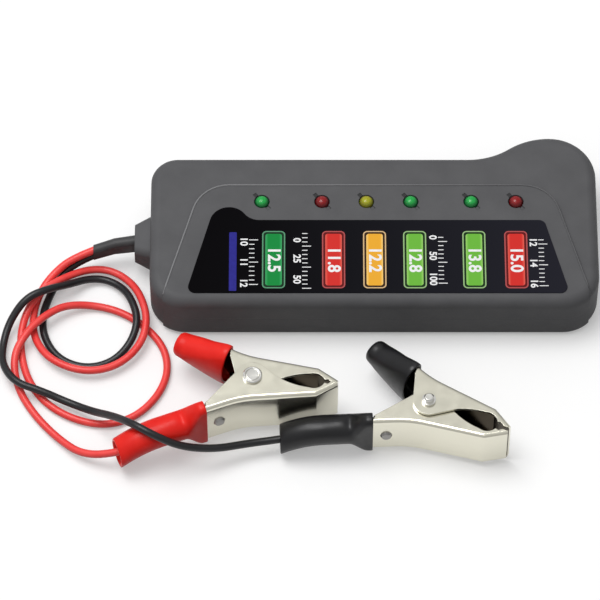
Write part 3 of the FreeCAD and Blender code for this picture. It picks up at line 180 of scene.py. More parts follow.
NOISE_LOW = 0.3
NOISE_HIGH = 0.7
FINE_DETAIL = 2.0
BEVEL_SAMPLES = 4
CLOUD_SIZE = 9.0
CLOUD_LOW = 0.25
CLOUD_HIGH = 0.75
WEAR_SIZE = 4.0
DRAWN_SIZE = 1.2
DRAWN_LINES = (1.0, 12.0, 12.0)
DRAWN_DEPTH = 0.004
METAL_EDGE = 0.25
INNER_SHADE_FADE = 2.0
PLATING_ROUGH = (0.14, 0.21)
LENS_CORE = 0.4
LENS_RIM = 0.82
LENS_SCATTER = 1.0
LENS_RIPPLE = 0.8


def srgb(red, green, blue):
    """Linear colour from the 0 to 255 values of a picture."""
    def linear(value):
        share = value / 255
        return share / 12.92 if share <= 0.04045 else ((share + 0.055) / 1.055) ** 2.4
    return (linear(red), linear(green), linear(blue), 1.0)


class Look:
    """A principled material whose colour, gloss and relief vary over the object's own space."""

    def __init__(self, name, **values):
        self.material = bpy.data.materials.new(name)
        self.material.use_nodes = True
        self.tree = self.material.node_tree
        self.shader = self.tree.nodes["Principled BSDF"]
        space = self.add("ShaderNodeTexCoord")
        self.place = space.outputs["Object"]
        self.normal = space.outputs["Normal"]
        for socket, value in values.items():
            self.shader.inputs[socket.replace("_", " ")].default_value = value

    def add(self, kind, **values):
        node = self.tree.nodes.new(kind)
        for socket, value in values.items():
            node.inputs[socket].default_value = value
        return node

    def join(self, source, target):
        self.tree.links.new(source, target)

    def noise(self, size, detail=3.0, stretch=(1.0, 1.0, 1.0)):
        """Noise whose patches are about size mm across."""
        spread = self.add("ShaderNodeMapping", Scale=stretch)
        self.join(self.place, spread.inputs["Vector"])
        noise = self.add("ShaderNodeTexNoise", Scale=1.0 / (size * MM), Detail=detail)
        self.join(spread.outputs["Vector"], noise.inputs["Vector"])
        return noise.outputs["Fac"]

    def from_centre(self, centre):
        """Place measured from a centre, in metres."""
        move = self.add("ShaderNodeMapping", Location=-centre)
        self.join(self.place, move.inputs["Vector"])
        return move.outputs["Vector"]

    def from_axis(self, centre):
        """Distance from an upright axis, in metres."""
        flat = self.add("ShaderNodeVectorMath")
        flat.operation = "MULTIPLY"
        flat.inputs[1].default_value = (1.0, 1.0, 0.0)
        self.join(self.from_centre(centre), flat.inputs[0])
        reach = self.add("ShaderNodeVectorMath")
        reach.operation = "LENGTH"
        self.join(flat.outputs["Vector"], reach.inputs[0])
        return reach.outputs["Value"]

    def facing(self, centre):
        """Metres by which a surface faces away from a centre, less than zero where it faces it."""
        outward = self.add("ShaderNodeVectorMath")
        outward.operation = "DOT_PRODUCT"
        self.join(self.from_centre(centre), outward.inputs[0])
        self.join(self.normal, outward.inputs[1])
        return outward.outputs["Value"]

    def along(self, axis):
        """Place along one axis, in metres."""
        split = self.add("ShaderNodeSeparateXYZ")
        self.join(self.place, split.inputs["Vector"])
        return split.outputs[axis]

    def across(self, axis):
        """Distance from the object's middle plane, in metres."""
        size = self.add("ShaderNodeMath")
        size.operation = "ABSOLUTE"
        self.join(self.along(axis), size.inputs[0])
        return size.outputs["Value"]

    def spread(self, value, low, high, to_low=0.0, to_high=1.0):
        """Value of one range stretched over another."""
        ends = {"From Min": low, "From Max": high, "To Min": to_low, "To Max": to_high}
        reach = self.add("ShaderNodeMapRange", **ends)
        self.join(value, reach.inputs["Value"])
        return reach.outputs["Result"]

    def colour(self, factor, *stops):
        """Colour ramp of (place, colour) stops onto the base colour."""
        self.join(fill_ramp(self.tree, factor, stops), self.shader.inputs["Base Color"])

    def gloss(self, factor, low, high):
        """Roughness that follows a noise from low to high."""
        self.join(self.spread(factor, NOISE_LOW, NOISE_HIGH, low, high), self.shader.inputs["Roughness"])

    def relief(self, height, depth, edge=0.0):
        """Bump of about depth mm, over corners softened by edge mm."""
        bump = self.add("ShaderNodeBump", Strength=1.0, Distance=depth * MM)
        self.join(height, bump.inputs["Height"])
        if edge > 0:
            soft = self.add("ShaderNodeBevel", Radius=edge * MM)
            soft.samples = BEVEL_SAMPLES
            self.join(soft.outputs["Normal"], bump.inputs["Normal"])
        self.join(bump.outputs["Normal"], self.shader.inputs["Normal"])


def plain_look(name, dark, light, patch, grain, depth, rough, edge=0.0, **values):
    """Two close tones in soft patches, a fine grain and a little change of gloss."""
    look = Look(name, **values)
    look.colour(look.noise(patch), (NOISE_LOW, dark), (NOISE_HIGH, light))
    fine = look.noise(grain, FINE_DETAIL)
    look.gloss(fine, *rough)
    look.relief(fine, depth, edge)
    return look


def draw_metal(look, rough):
    """Cloudy gloss and faint drawn lines."""
    look.gloss(look.noise(WEAR_SIZE), *rough)
    look.relief(look.noise(DRAWN_SIZE, stretch=DRAWN_LINES), DRAWN_DEPTH, METAL_EDGE)
    return look


def metal_look(name, dark, light, rough):
    look = Look(name, Metallic=1.0)
    look.colour(look.noise(CLOUD_SIZE, FINE_DETAIL), (CLOUD_LOW, dark), (CLOUD_HIGH, light))
    return draw_metal(look, rough)


def plating_look(node, pivot):
    """Bright plated sheet with painted shade: brown and dim where it faces the inside of the clamp."""
    look = Look(node + "_plating_painted_shade", Metallic=1.0)
    outward = look.spread(look.facing(pivot), -INNER_SHADE_FADE * MM, INNER_SHADE_FADE * MM)
    # Painted shade: darker brown on the faces turned towards the clamp's inside
    look.colour(outward, (0.3, srgb(92, 82, 66)), (0.7, srgb(216, 213, 195)), (1.0, srgb(224, 221, 205)))
    return draw_metal(look, PLATING_ROUGH)


def film_look():
    """Black printed film, with a painted reflection that makes it a little greyer to the right."""
    look = Look("printed_film", Specular_IOR_Level=0.03)
    low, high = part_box("label_overlay")
    share = look.spread(look.along("X"), low.x, high.x)
    # Painted reflection: the black grows greyer to the right
    look.colour(
        share, (0.0, srgb(2, 1, 3)), (0.2, srgb(6, 5, 8)), (0.5, srgb(20, 20, 25)), (1.0, srgb(34, 34, 42)))
    fine = look.noise(size=0.25, detail=FINE_DETAIL)
    look.gloss(fine, low=0.3, high=0.4)
    look.relief(fine, depth=0.003)
    return look


LOOKS = {
    "case_plastic": plain_look(
        "moulded_grey", srgb(80, 80, 82), srgb(86, 86, 88), patch=9.0, grain=0.35, depth=0.01,
        rough=(0.52, 0.66), edge=0.4, Specular_IOR_Level=0.25),
    # Painted shadow for the dark end of each lamp groove
    "groove_shade": plain_look(
        "groove_painted_shadow", srgb(22, 22, 24), srgb(30, 30, 32), patch=2.0, grain=0.3, depth=0.006,
        rough=(0.6, 0.7)),
    "label_print": film_look(),
    "board_laminate": plain_look(
        "board_green", srgb(20, 78, 42), srgb(32, 100, 56), patch=4.0, grain=0.4, depth=0.01,
        rough=(0.35, 0.5)),
    "tinned_wire": metal_look("tinned", srgb(180, 180, 178), srgb(208, 208, 205), (0.3, 0.45)),
    "screw_steel": metal_look("zinc_steel", srgb(150, 150, 150), srgb(190, 190, 188), (0.3, 0.45)),
    "chip_black": plain_look(
        "chip_resin", srgb(28, 28, 29), srgb(38, 38, 39), patch=3.0, grain=0.2, depth=0.008,
        rough=(0.5, 0.65)),
    "resistor_body": plain_look(
        "resistor_paint", srgb(196, 160, 108), srgb(214, 180, 130), patch=2.0, grain=0.3, depth=0.006,
        rough=(0.35, 0.5)),
    "capacitor_sleeve": plain_look(
        "capacitor_film", srgb(24, 34, 70), srgb(34, 46, 88), patch=3.0, grain=0.4, depth=0.006,
        rough=(0.25, 0.4)),
    "relief_rubber": plain_look(
        "relief_vinyl", srgb(54, 54, 55), srgb(64, 64, 65), patch=3.0, grain=0.3, depth=0.01,
        rough=(0.42, 0.56), Specular_IOR_Level=0.35),
    "wire_red": plain_look(
        "vinyl_red_wire", srgb(236, 58, 56), srgb(245, 76, 72), patch=7.0, grain=0.5, depth=0.004,
        rough=(0.28, 0.4)),
    "wire_black": plain_look(
        "vinyl_black_wire", srgb(24, 24, 27), srgb(32, 32, 35), patch=7.0, grain=0.5, depth=0.004,
        rough=(0.28, 0.4), Specular_IOR_Level=0.4),
    "rivet_steel": metal_look("bright_rivet", srgb(212, 211, 206), srgb(232, 231, 226), (0.12, 0.22)),
    "rivet_dull": metal_look("dull_rivet", srgb(142, 140, 138), srgb(166, 164, 162), (0.26, 0.36)),
    "spring_steel": metal_look("spring_wire", srgb(132, 130, 126), srgb(172, 170, 164), (0.2, 0.32)),
    "sleeve_black": plain_look(
        "vinyl_black", srgb(17, 17, 19), srgb(23, 23, 26), patch=5.0, grain=1.6, depth=0.004,
        rough=(0.3, 0.4), Specular_IOR_Level=0.4),
    "sleeve_red": plain_look(
        "vinyl_red", srgb(226, 28, 20), srgb(236, 40, 30), patch=5.0, grain=1.6, depth=0.004,
        rough=(0.3, 0.4), Specular_IOR_Level=0.25),
    "terminal_brass": metal_look("tinned_brass", srgb(186, 172, 128), srgb(208, 196, 156), (0.25, 0.4)),
}


def lamp_look(node, core, rim):
    """Clear coloured resin with painted light: a bright core standing in for light returned from inside the
    lamp, and a deeper rim.
    """
    low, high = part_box(node)
    look = Look(
        node + "_resin", Roughness=0.3, Specular_IOR_Level=0.3, Coat_Weight=0.3, Coat_Roughness=0.08,
        Subsurface_Weight=0.2, Subsurface_Scale=LENS_SCATTER * MM,
    )
    half = (high.x - low.x) / 2
    reach = look.from_axis((low + high) / 2)
    look.colour(look.spread(reach, 0.0, half), (LENS_CORE, core), (LENS_RIM, rim))
    look.relief(look.noise(LENS_RIPPLE, detail=1.0), depth=0.004)
    return look


# Painted bright core and darker rim of each lamp colour
LAMP_TONES = {
    "green": (srgb(22, 164, 70), srgb(2, 70, 34)),
    "red": (srgb(138, 4, 10), srgb(70, 0, 4)),
    "yellow": (srgb(160, 160, 20), srgb(88, 86, 6)),
}


def dress(node, look):
    mesh = nodes[node].data
    mesh.materials.clear()
    mesh.materials.append(look.material)


NODE_LOOKS = {
    "front_shell": "case_plastic", "rear_shell": "case_plastic", "label_overlay": "label_print",
    "circuit_board": "board_laminate", "led_leads": "tinned_wire", "case_screws": "screw_steel",
    "board_screws": "screw_steel", "comparator_chip": "chip_black", "chip_pins": "tinned_wire",
    "resistors": "resistor_body", "resistor_legs": "tinned_wire", "protection_diode": "chip_black",
    "filter_capacitor": "capacitor_sleeve", "strain_relief": "relief_rubber",
    "inner_lead_red": "wire_red", "inner_lead_black": "wire_black",
}
for colour in ("red", "black"):
    NODE_LOOKS[f"{colour}_clamp_rivet"] = "rivet_steel"
    NODE_LOOKS[f"{colour}_clamp_wire_rivet"] = "rivet_dull"
    NODE_LOOKS[f"{colour}_clamp_terminal"] = "terminal_brass"
for node_name, look_name in NODE_LOOKS.items():
    dress(node_name, LOOKS[look_name])
LAMPS = sorted(name for name in nodes if name.startswith("led_") and name != "led_leads")
for node_name in LAMPS:
    tone = node_name.rsplit("_", 1)[1]
    dress(node_name, lamp_look(node_name, *LAMP_TONES[tone]))


# Mesh helpers

CORNERS = [(1, 1, 0), (-1, 1, 90), (-1, -1, 180), (1, -1, 270)]
CORNER_STEPS = 9
WIRE_SIDES = 14


def finish_piece(piece, body, look, smooth=True):
    piece.data.materials.append(look.material)
    if smooth:
        piece.data.shade_smooth()
    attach(piece, body)


def mesh_piece(name, points, faces):
    """Object from points in millimetres."""
    data = bpy.data.meshes.new(name)
    data.from_pydata([Vector(p) * MM for p in points], [], faces)
    shape = bmesh.new()
    shape.from_mesh(data)
    bmesh.ops.recalc_face_normals(shape, faces=shape.faces)
    shape.to_mesh(data)
    shape.free()
    return link(bpy.data.objects.new(name, data))


def skin(rings, closed):
    """Points and faces over equal rings.

    A closed skin joins its last ring to its first. An open one is fanned shut at both ends.
    """
    count = len(rings[0])
    points = [p for ring in rings for p in ring]
    faces = []
    steps = len(rings) if closed else len(rings) - 1
    for i in range(steps):
        here, there = i * count, (i + 1) % len(rings) * count
        for k in range(count):
            after = (k + 1) % count
            faces.append((here + k, here + after, there + after, there + k))
    if not closed:
        for ring, start in ((rings[0], 0), (rings[-1], (len(rings) - 1) * count)):
            middle = sum((Vector(p) for p in ring), Vector()) / count
            points.append(middle)
            hub = len(points) - 1
            faces.extend((start + k, start + (k + 1) % count, hub) for k in range(count))
    return points, faces


def tube(points, radius, sides=WIRE_SIDES):
    """Rings of a round wire along a line of points."""
    line = [Vector(p) for p in points]
    rings = []
    side = None
    for i, spot in enumerate(line):
        way = (line[min(i + 1, len(line) - 1)] - line[max(i - 1, 0)]).normalized()
        side = way.orthogonal() if side is None else side - way * side.dot(way)
        side.normalize()
        other = way.cross(side)
        turns = (2 * math.pi * k / sides for k in range(sides))
        rings.append([spot + (side * math.cos(a) + other * math.sin(a)) * radius for a in turns])
    return rings


def held(value):
    """Value held between nought and one."""
    return min(max(value, 0.0), 1.0)


def smooth_step(share):
    return share * share * (3 - 2 * share)


def mix(a, b, share):
    return a + (b - a) * share


def corner_arcs(half_a, half_b, radius):
    """The four corners of a rounded rectangle, each as a list of points."""
    arcs = []
    for a, b, first in CORNERS:
        turns = [math.radians(first + 90 * k / (CORNER_STEPS - 1)) for k in range(CORNER_STEPS)]
        middle_a, middle_b = a * (half_a - radius), b * (half_b - radius)
        arcs.append([(middle_a + radius * math.cos(t), middle_b + radius * math.sin(t)) for t in turns])
    return arcs


# Leads

WIRE = 2.6
WIRE_ROUND = 5
WIRE_STEPS = 8
WIRE_ORDER = 3
RED_LEAD = [
    (-93.3, -1.7, 9.7), (-101.0, -3.9, 7.8), (-107.2, -7.8, 5.1), (-112.1, -14.0, 2.8),
    (-114.6, -23.0, 1.6), (-113.6, -33.0, 2.1), (-107.5, -42.0, 3.7), (-96.5, -46.5, 4.1),
    (-86.0, -44.0, 3.5), (-78.2, -36.6, 4.0), (-75.7, -27.0, 4.8), (-78.0, -17.4, 4.8),
    (-82.2, -9.8, 2.6), (-88.8, -5.0, 1.8), (-96.3, -5.2, 2.6), (-104.0, -10.0, 5.0),
    (-110.5, -15.0, 6.2), (-115.5, -21.0, 5.2), (-118.3, -29.0, 2.2), (-117.9, -39.0, 1.4),
    (-115.0, -49.0, 1.4), (-109.0, -57.3, 1.4), (-99.7, -63.2, 1.4), (-89.0, -65.5, 1.4),
    (-79.3, -62.2, 1.4), (-72.0, -54.4, 1.4), (-68.6, -45.0, 1.4), (-70.0, -35.6, 1.4),
    (-76.0, -27.6, 1.4), (-84.6, -21.4, 1.4), (-94.2, -18.8, 1.6), (-103.5, -20.5, 4.4),
    (-110.0, -25.0, 5.4), (-116.0, -31.5, 5.6), (-120.4, -40.0, 4.2), (-119.2, -50.0, 1.5),
    (-113.5, -60.6, 1.4), (-105.0, -70.4, 1.6), (-96.0, -78.2, 3.8),
]
BLACK_LEAD = [
    (-93.4, -1.7, 6.6), (-100.6, -3.9, 4.5), (-105.8, -8.4, 2.3), (-109.1, -15.2, 1.4),
    (-111.4, -23.2, 1.4), (-110.4, -32.0, 1.4), (-105.3, -40.0, 1.4), (-96.3, -43.6, 1.4),
    (-87.3, -41.2, 1.6), (-81.3, -34.8, 3.2), (-78.9, -26.6, 4.8), (-81.1, -18.8, 4.8),
    (-84.4, -12.6, 2.6), (-90.0, -8.8, 1.8), (-96.2, -9.0, 2.6), (-102.6, -13.0, 5.4),
    (-109.3, -17.2, 9.4), (-116.5, -20.6, 9.4), (-122.0, -27.0, 4.6), (-124.2, -35.0, 2.2),
    (-124.0, -43.5, 4.0), (-119.3, -51.3, 5.6), (-110.6, -54.4, 5.4), (-102.0, -57.5, 3.2),
    (-93.5, -62.2, 5.2), (-86.5, -67.8, 12.0), (-80.0, -74.2, 18.4), (-73.0, -78.6, 18.4),
    (-64.0, -80.4, 13.6), (-53.0, -78.6, 8.8), (-42.0, -75.2, 6.6),
]
LEAD_TAIL = [(48.0, 4.4, -4.2), (41.0, 4.4, -2.0), (33.4, 4.7, 0.0), (26.5, 4.7, 0.0)]

# Clamps

HANDLE_ANGLE = math.radians(24.5)
CLAMP_WIDTH = 19.5
INNER_WIDTH = 17.1


class Clamp:
    """Frames of one clamp: its pivot comes from the joint, its turn from the part."""

    def __init__(self, colour, turn, outer_jaw):
        self.colour = colour
        self.body = colour + "_jaw"
        joint = [j for j in frame["joints"] if j["child"] == self.body][0]
        self.pivot = Vector(joint["pos_m"]) / MM
        self.whole = Matrix.Translation(self.pivot) @ Matrix.Rotation(math.radians(turn), 4, "Z")
        self.outer_jaw = outer_jaw

    def width(self, jaw):
        return CLAMP_WIDTH if jaw == self.outer_jaw else INNER_WIDTH

    def handle(self, jaw):
        """Frame of the fixed or moving jaw's handle: x runs up it and y out of its web."""
        side = 1 if jaw == "moving" else -1
        run, rise = math.cos(HANDLE_ANGLE), math.sin(HANDLE_ANGLE)
        axis_x = Vector((-run, side * rise, 0.0))
        axis_y = Vector((rise, side * run, 0.0))
        axis_z = axis_x.cross(axis_y)
        return self.whole @ Matrix((axis_x, axis_y, axis_z)).transposed().to_4x4()

    def node(self, piece):
        return f"{self.colour}_clamp_{piece}"


CLAMPS = [Clamp("red", turn=-4.0, outer_jaw="fixed"), Clamp("black", turn=-22.0, outer_jaw="moving")]
CLAMP_PIECES = ("fixed_jaw", "moving_jaw", "rivet", "wire_rivet", "terminal")


def dress_jaws(clamp):
    for jaw in ("moving_jaw", "fixed_jaw"):
        name = clamp.node(jaw)
        pivot = nodes[name].matrix_world.inverted() @ (clamp.pivot * MM)
        dress(name, plating_look(name, pivot))


def add_lead(clamp, route):
    """Wire from the strain relief along its route and up the fixed handle."""
    spots = [Vector(p) for p in route] + [clamp.handle("fixed") @ Vector(p) for p in LEAD_TAIL]
    data = bpy.data.curves.new(clamp.colour + "_lead_wire", "CURVE")
    data.dimensions = "3D"
    data.bevel_depth = WIRE / 2 * MM
    data.bevel_resolution = WIRE_ROUND
    data.resolution_u = WIRE_STEPS
    data.use_fill_caps = True
    line = data.splines.new("NURBS")
    line.points.add(len(spots) - 1)
    for point, spot in zip(line.points, spots):
        point.co = (*(spot * MM), 1.0)
    line.order_u = WIRE_ORDER
    line.use_endpoint_u = True
    wire = link(bpy.data.objects.new(clamp.colour + "_lead_wire", data))
    vinyl = "wire_" + clamp.colour
    finish_piece(wire, "tester", LOOKS[vinyl], smooth=False)
    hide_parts(clamp.colour + "_lead")


# Sleeves

WEB_OUT = 6.946
HANDLE_DEPTH = 3.2
SLEEVE_WALL = 0.8
SLEEVE_ROOM = 0.2
SLEEVE_TIP = 4.0
SLEEVE_SAG = 5.0
SLEEVE_STEP = 0.6
TUBE_ROUND = 0.99
FLARE_START = 1.4
MOUTH_CENTRE = WEB_OUT - HANDLE_DEPTH / 2
MOUTH_ROUND = 2.2
MOUTH_BULGE = 3.2
SIDE_STEPS = 5

# Place along, bearing, depth, length and width in degrees of each dent
FIXED_DENTS = [
    (7.2, 90, 0.7, 1.6, 28), (8.6, -70, 0.5, 2.0, 24), (6.4, 30, 0.4, 1.2, 20), (17.0, 100, 0.3, 5.0, 35),
]
MOVING_DENTS = [(11.0, 100, 0.3, 4.0, 40), (6.5, -60, 0.3, 3.0, 30)]
SLEEVES = {
    "fixed": {
        "start": 18.6, "end": 49.0, "flare": 8.0, "tube": 5.0, "centre": WEB_OUT - 3.0, "dents": FIXED_DENTS,
    },
    "moving": {
        "start": 11.5, "end": 31.0, "flare": 16.0, "tube": 4.4, "centre": WEB_OUT - 2.43,
        "dents": MOVING_DENTS,
    },
}

# Distance from the end and inset of each ring round an open rim
RIM = [(0.3, 0.0), (0.09, 0.09), (0.0, 0.3), (0.0, 0.5), (0.09, 0.71), (0.3, 0.8)]
RIM_CLEAR = 0.5

# Distance from the end and shrinkage of each ring over a shut end, outside and inside
SHUT_END = [(1.5, 1.0), (0.8, 0.95), (0.3, 0.84), (0.05, 0.66), (0.0, 0.4)]
SHUT_INSIDE = [(1.0, 0.3), (1.1, 0.8)]
OUTER_CLEAR = 1.9
INNER_CLEAR = 2.2


def section(half_out, half_up, radius):
    """Rounded rectangle across a handle, as (out, up) points with steps along its straight sides."""
    arcs = corner_arcs(half_out, half_up, radius)
    spots = []
    for arc, after in zip(arcs, arcs[1:] + arcs[:1]):
        spots += arc
        start, goal = arc[-1], after[0]
        for k in range(1, SIDE_STEPS):
            share = k / SIDE_STEPS
            spots.append((mix(start[0], goal[0], share), mix(start[1], goal[1], share)))
    return spots


def dent_depth(dents, along, angle):
    press = 0.0
    for spot, bearing, depth, reach, wide in dents:
        turn = math.remainder(angle - math.radians(bearing), 2 * math.pi)
        press += depth * math.exp(-((along - spot) / reach) ** 2 - (turn / math.radians(wide)) ** 2)
    return press


def add_sleeve(clamp, jaw):
    """Soft vinyl sleeve: flared mouth, dented tube, and a sagging open end or a rounded shut one."""
    shut = jaw == "moving"
    sizes = SLEEVES[jaw]
    start, flare_end, tube_size = sizes["start"], sizes["flare"], sizes["tube"]
    long = sizes["end"] - start
    mouth_up = clamp.width(jaw) / 2 + SLEEVE_ROOM + SLEEVE_WALL
    mouth_out = HANDLE_DEPTH / 2 + SLEEVE_ROOM + SLEEVE_WALL

    def ring(along, inset, shrink=1.0):
        flare = held((along - FLARE_START) / (flare_end - FLARE_START))
        flare = flare if shut else smooth_step(flare)
        taper = max(along - flare_end, 0.0) / (long - flare_end)
        size = mix(tube_size, SLEEVE_TIP, taper) if shut else tube_size
        half_up = (mix(mouth_up, size, flare) - inset) * shrink
        half_out = (mix(mouth_out, size, flare) - inset) * shrink
        radius = (mix(MOUTH_ROUND, size * TUBE_ROUND, flare) - inset) * shrink
        droop = 0.0 if shut else SLEEVE_SAG * max(along / long * 2 - 1, 0.0) ** 2
        centre = mix(MOUTH_CENTRE, sizes["centre"], flare)
        spots = []
        for out, up in section(half_out, half_up, radius):
            if shut and out < 0:
                out -= MOUTH_BULGE * (1 - flare) * (1 - (up / half_up) ** 2)
            press = dent_depth(sizes["dents"], along, math.atan2(up, out))
            keep = 1 - press / math.hypot(out, up) * shrink
            spots.append((start + along, centre + out * keep, up * keep - droop))
        return spots

    steps = [k * SLEEVE_STEP for k in range(1, int(long / SLEEVE_STEP))]
    outer = [ring(u, 0.0) for u in steps if RIM_CLEAR < u < long - OUTER_CLEAR]
    inner = [ring(u, SLEEVE_WALL) for u in reversed(steps) if RIM_CLEAR < u < long - INNER_CLEAR]
    rings = [ring(u, inset) for u, inset in reversed(RIM)] + outer
    if shut:
        rings += [ring(long - u, 0.0, shrink) for u, shrink in SHUT_END]
        rings = [ring(long - u, SLEEVE_WALL, shrink) for u, shrink in SHUT_INSIDE] + inner + rings
    else:
        rings += [ring(long - u, inset) for u, inset in RIM] + inner
    place = clamp.handle(jaw)
    world = [[place @ Vector(p) for p in one] for one in rings]
    piece = mesh_piece(clamp.node(jaw + "_sleeve") + "_soft", *skin(world, closed=not shut))
    body = clamp.body if shut else "tester"
    finish_piece(piece, body, LOOKS["sleeve_" + clamp.colour])
    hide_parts(clamp.node(jaw + "_sleeve"))
    return piece


# Springs

SPRING_WIRE = 1.2
SPRING_RADIUS = 3.2
SPRING_PITCH = 1.7
SPRING_LEG = 10.0
SPRING_ANGLE = math.radians(57.0)
SPRING_COILS = 4
SPRING_TURNS = SPRING_COILS + SPRING_ANGLE / math.pi
TURN_STEPS = 36
LEG_STEPS = 10


def add_spring(clamp):
    """Torsion spring whose lower leg lies in the fixed handle and upper one in the moving handle."""
    tall = SPRING_PITCH * SPRING_TURNS
    steps = TURN_STEPS * int(SPRING_TURNS)
    coil = []
    for k in range(steps + 1):
        angle = -SPRING_ANGLE + 2 * math.pi * SPRING_TURNS * k / steps
        x, y = SPRING_RADIUS * math.cos(angle), SPRING_RADIUS * math.sin(angle)
        coil.append(Vector((x, y, tall * (k / steps - 0.5))))
    low_way = (coil[0] - coil[1]).normalized()
    high_way = (coil[-1] - coil[-2]).normalized()
    reaches = [SPRING_LEG * k / LEG_STEPS for k in range(1, LEG_STEPS + 1)]
    low_leg = [coil[0] + low_way * u for u in reversed(reaches)]
    high_leg = [coil[-1] + high_way * u for u in reaches]
    rings = tube([clamp.whole @ p for p in low_leg + coil + high_leg], SPRING_WIRE / 2)
    piece = mesh_piece(clamp.node("spring") + "_wire", *skin(rings, closed=False))
    piece.data.materials.append(LOOKS["spring_steel"].material)
    piece.data.shade_smooth()
    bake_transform(piece)
    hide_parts(clamp.node("spring"))
    return piece


# Panel print

PRINT_LIFT = 0.04
INK_SHINE = 0.15
TAG_WIDE = 7.7
TAG_LONG = 22.5
TAG_MIDDLE = -12.75
TAG_ROUND = 1.5
RING_WIDE = 0.42
SMALLEST_ROUND = 0.1
FILL_INSET = 1.1
FILL_ROUND = 0.6 * TAG_ROUND
FILL_START = 0.3
FILL_PLAIN = 0.55

# Fill, edge of the fill, rim and gap of each kind of tag
GREEN_TAG = (srgb(0, 132, 56), srgb(56, 164, 98), srgb(88, 148, 112), srgb(2, 40, 18))
RED_TAG = (srgb(206, 42, 36), srgb(226, 92, 78), srgb(176, 78, 78), srgb(92, 6, 12))
AMBER_TAG = (srgb(230, 166, 44), srgb(246, 204, 116), srgb(212, 178, 130), srgb(48, 26, 8))
LIME_TAG = (srgb(104, 178, 58), srgb(150, 204, 104), srgb(148, 184, 124), srgb(6, 44, 10))

# Middle, number and tones of each tag
TAGS = [
    (-33.6, "12.5", GREEN_TAG), (-13.6, "11.8", RED_TAG), (0.1, "12.2", AMBER_TAG),
    (13.5, "12.8", LIME_TAG), (33.3, "13.8", LIME_TAG), (47.3, "15.0", RED_TAG),
]
NUMBER_TALL = 5.8
NUMBER_BOLD = 0.026
NUMBER_TURN = math.radians(-90)

# Middle, front, back and numbers of each scale
SCALES = [
    (-40.3, -22.5, -5.0, "10     11     12"), (-22.6, -24.0, -2.5, "0     25     50"),
    (22.8, -22.0, -4.0, "0     50     100"), (56.3, -23.0, -5.0, "12     14     16"),
]
SCALE_NUMBER = 3.4
SCALE_STEP = 3.3
TICK_STEP = 1.6
TICK_LONG = 3.0
TICK_SHORT = 1.8
TICK_WIDE = 0.3
TICK_GROUP = 5
BOX_FACES = [(0, 3, 2, 1), (4, 5, 6, 7), (0, 1, 5, 4), (1, 2, 6, 5), (2, 3, 7, 6), (3, 0, 4, 7)]
STRIP_SPOT = (-47.2, -13.5)
STRIP_WIDE = 2.5
STRIP_LONG = 23.0
STRIP_ROUND = 0.3


def outline(wide, long, radius):
    return [spot for arc in corner_arcs(wide / 2, long / 2, radius) for spot in arc]


def at_height(spots, z):
    return [(x, y, z) for x, y in spots]


def plate_rings(wide, long, radius, thick=PRINT_LIFT):
    spots = outline(wide, long, radius)
    return [at_height(spots, 0.0), at_height(spots, thick)]


def frame_rings(wide, long, radius, band):
    outer = outline(wide, long, radius)
    inner = outline(wide - 2 * band, long - 2 * band, max(radius - band, SMALLEST_ROUND))
    corners = ((outer, 0.0), (outer, PRINT_LIFT), (inner, PRINT_LIFT), (inner, 0.0))
    return [at_height(spots, z) for spots, z in corners]


def print_piece(name, rings, spot, look, closed=False):
    """Thin printed layer on the label, drawn about its own middle."""
    piece = mesh_piece(name, *skin(rings, closed))
    piece.location = Vector((*spot, label_top)) * MM
    finish_piece(piece, "tester", look, smooth=False)


def ink(name, dark, light):
    return plain_look(
        name, dark, light, patch=1.5, grain=0.2, depth=0.002, rough=(0.32, 0.42),
        Specular_IOR_Level=INK_SHINE)


def fill_look(name, deep, edge):
    """Ink that grows lighter towards the long sides of a tag."""
    look = Look(name, Roughness=0.36, Specular_IOR_Level=INK_SHINE)
    half = (TAG_WIDE / 2 - FILL_INSET) * MM
    look.colour(look.spread(look.across("X"), FILL_START * half, half), (FILL_PLAIN, deep), (1.0, edge))
    look.relief(look.noise(size=0.2, detail=FINE_DETAIL), depth=0.002)
    return look


def add_number(name, words, spot, size, look):
    data = bpy.data.curves.new(name, "FONT")
    data.body = words
    data.align_x = "CENTER"
    data.align_y = "CENTER"
    data.size = size * MM
    data.offset = size * NUMBER_BOLD * MM
    data.extrude = PRINT_LIFT / 2 * MM
    text = link(bpy.data.objects.new(name, data))
    text.location = Vector((*spot, label_top + PRINT_LIFT)) * MM
    text.rotation_euler = (0.0, 0.0, NUMBER_TURN)
    finish_piece(text, "tester", look, smooth=False)


def add_tag(number, x, words, tones, white):
    """Coloured tag: a dark plate, a rim round it, a lighter-edged fill and a plain number."""
    deep, edge, rim, gap = tones
    spot = (x, TAG_MIDDLE)
    plate = plate_rings(TAG_WIDE - RING_WIDE, TAG_LONG - RING_WIDE, TAG_ROUND, PRINT_LIFT / 2)
    print_piece(f"tag_gap_{number}", plate, spot, ink(f"ink_gap_{number}", gap, gap))
    band = frame_rings(TAG_WIDE, TAG_LONG, TAG_ROUND, RING_WIDE)
    print_piece(f"tag_rim_{number}", band, spot, ink(f"ink_rim_{number}", rim, rim), closed=True)
    inside = plate_rings(TAG_WIDE - 2 * FILL_INSET, TAG_LONG - 2 * FILL_INSET, FILL_ROUND)
    print_piece(f"tag_fill_{number}", inside, spot, fill_look(f"ink_fill_{number}", deep, edge))
    add_number(f"tag_number_{number}", words, spot, NUMBER_TALL, white)


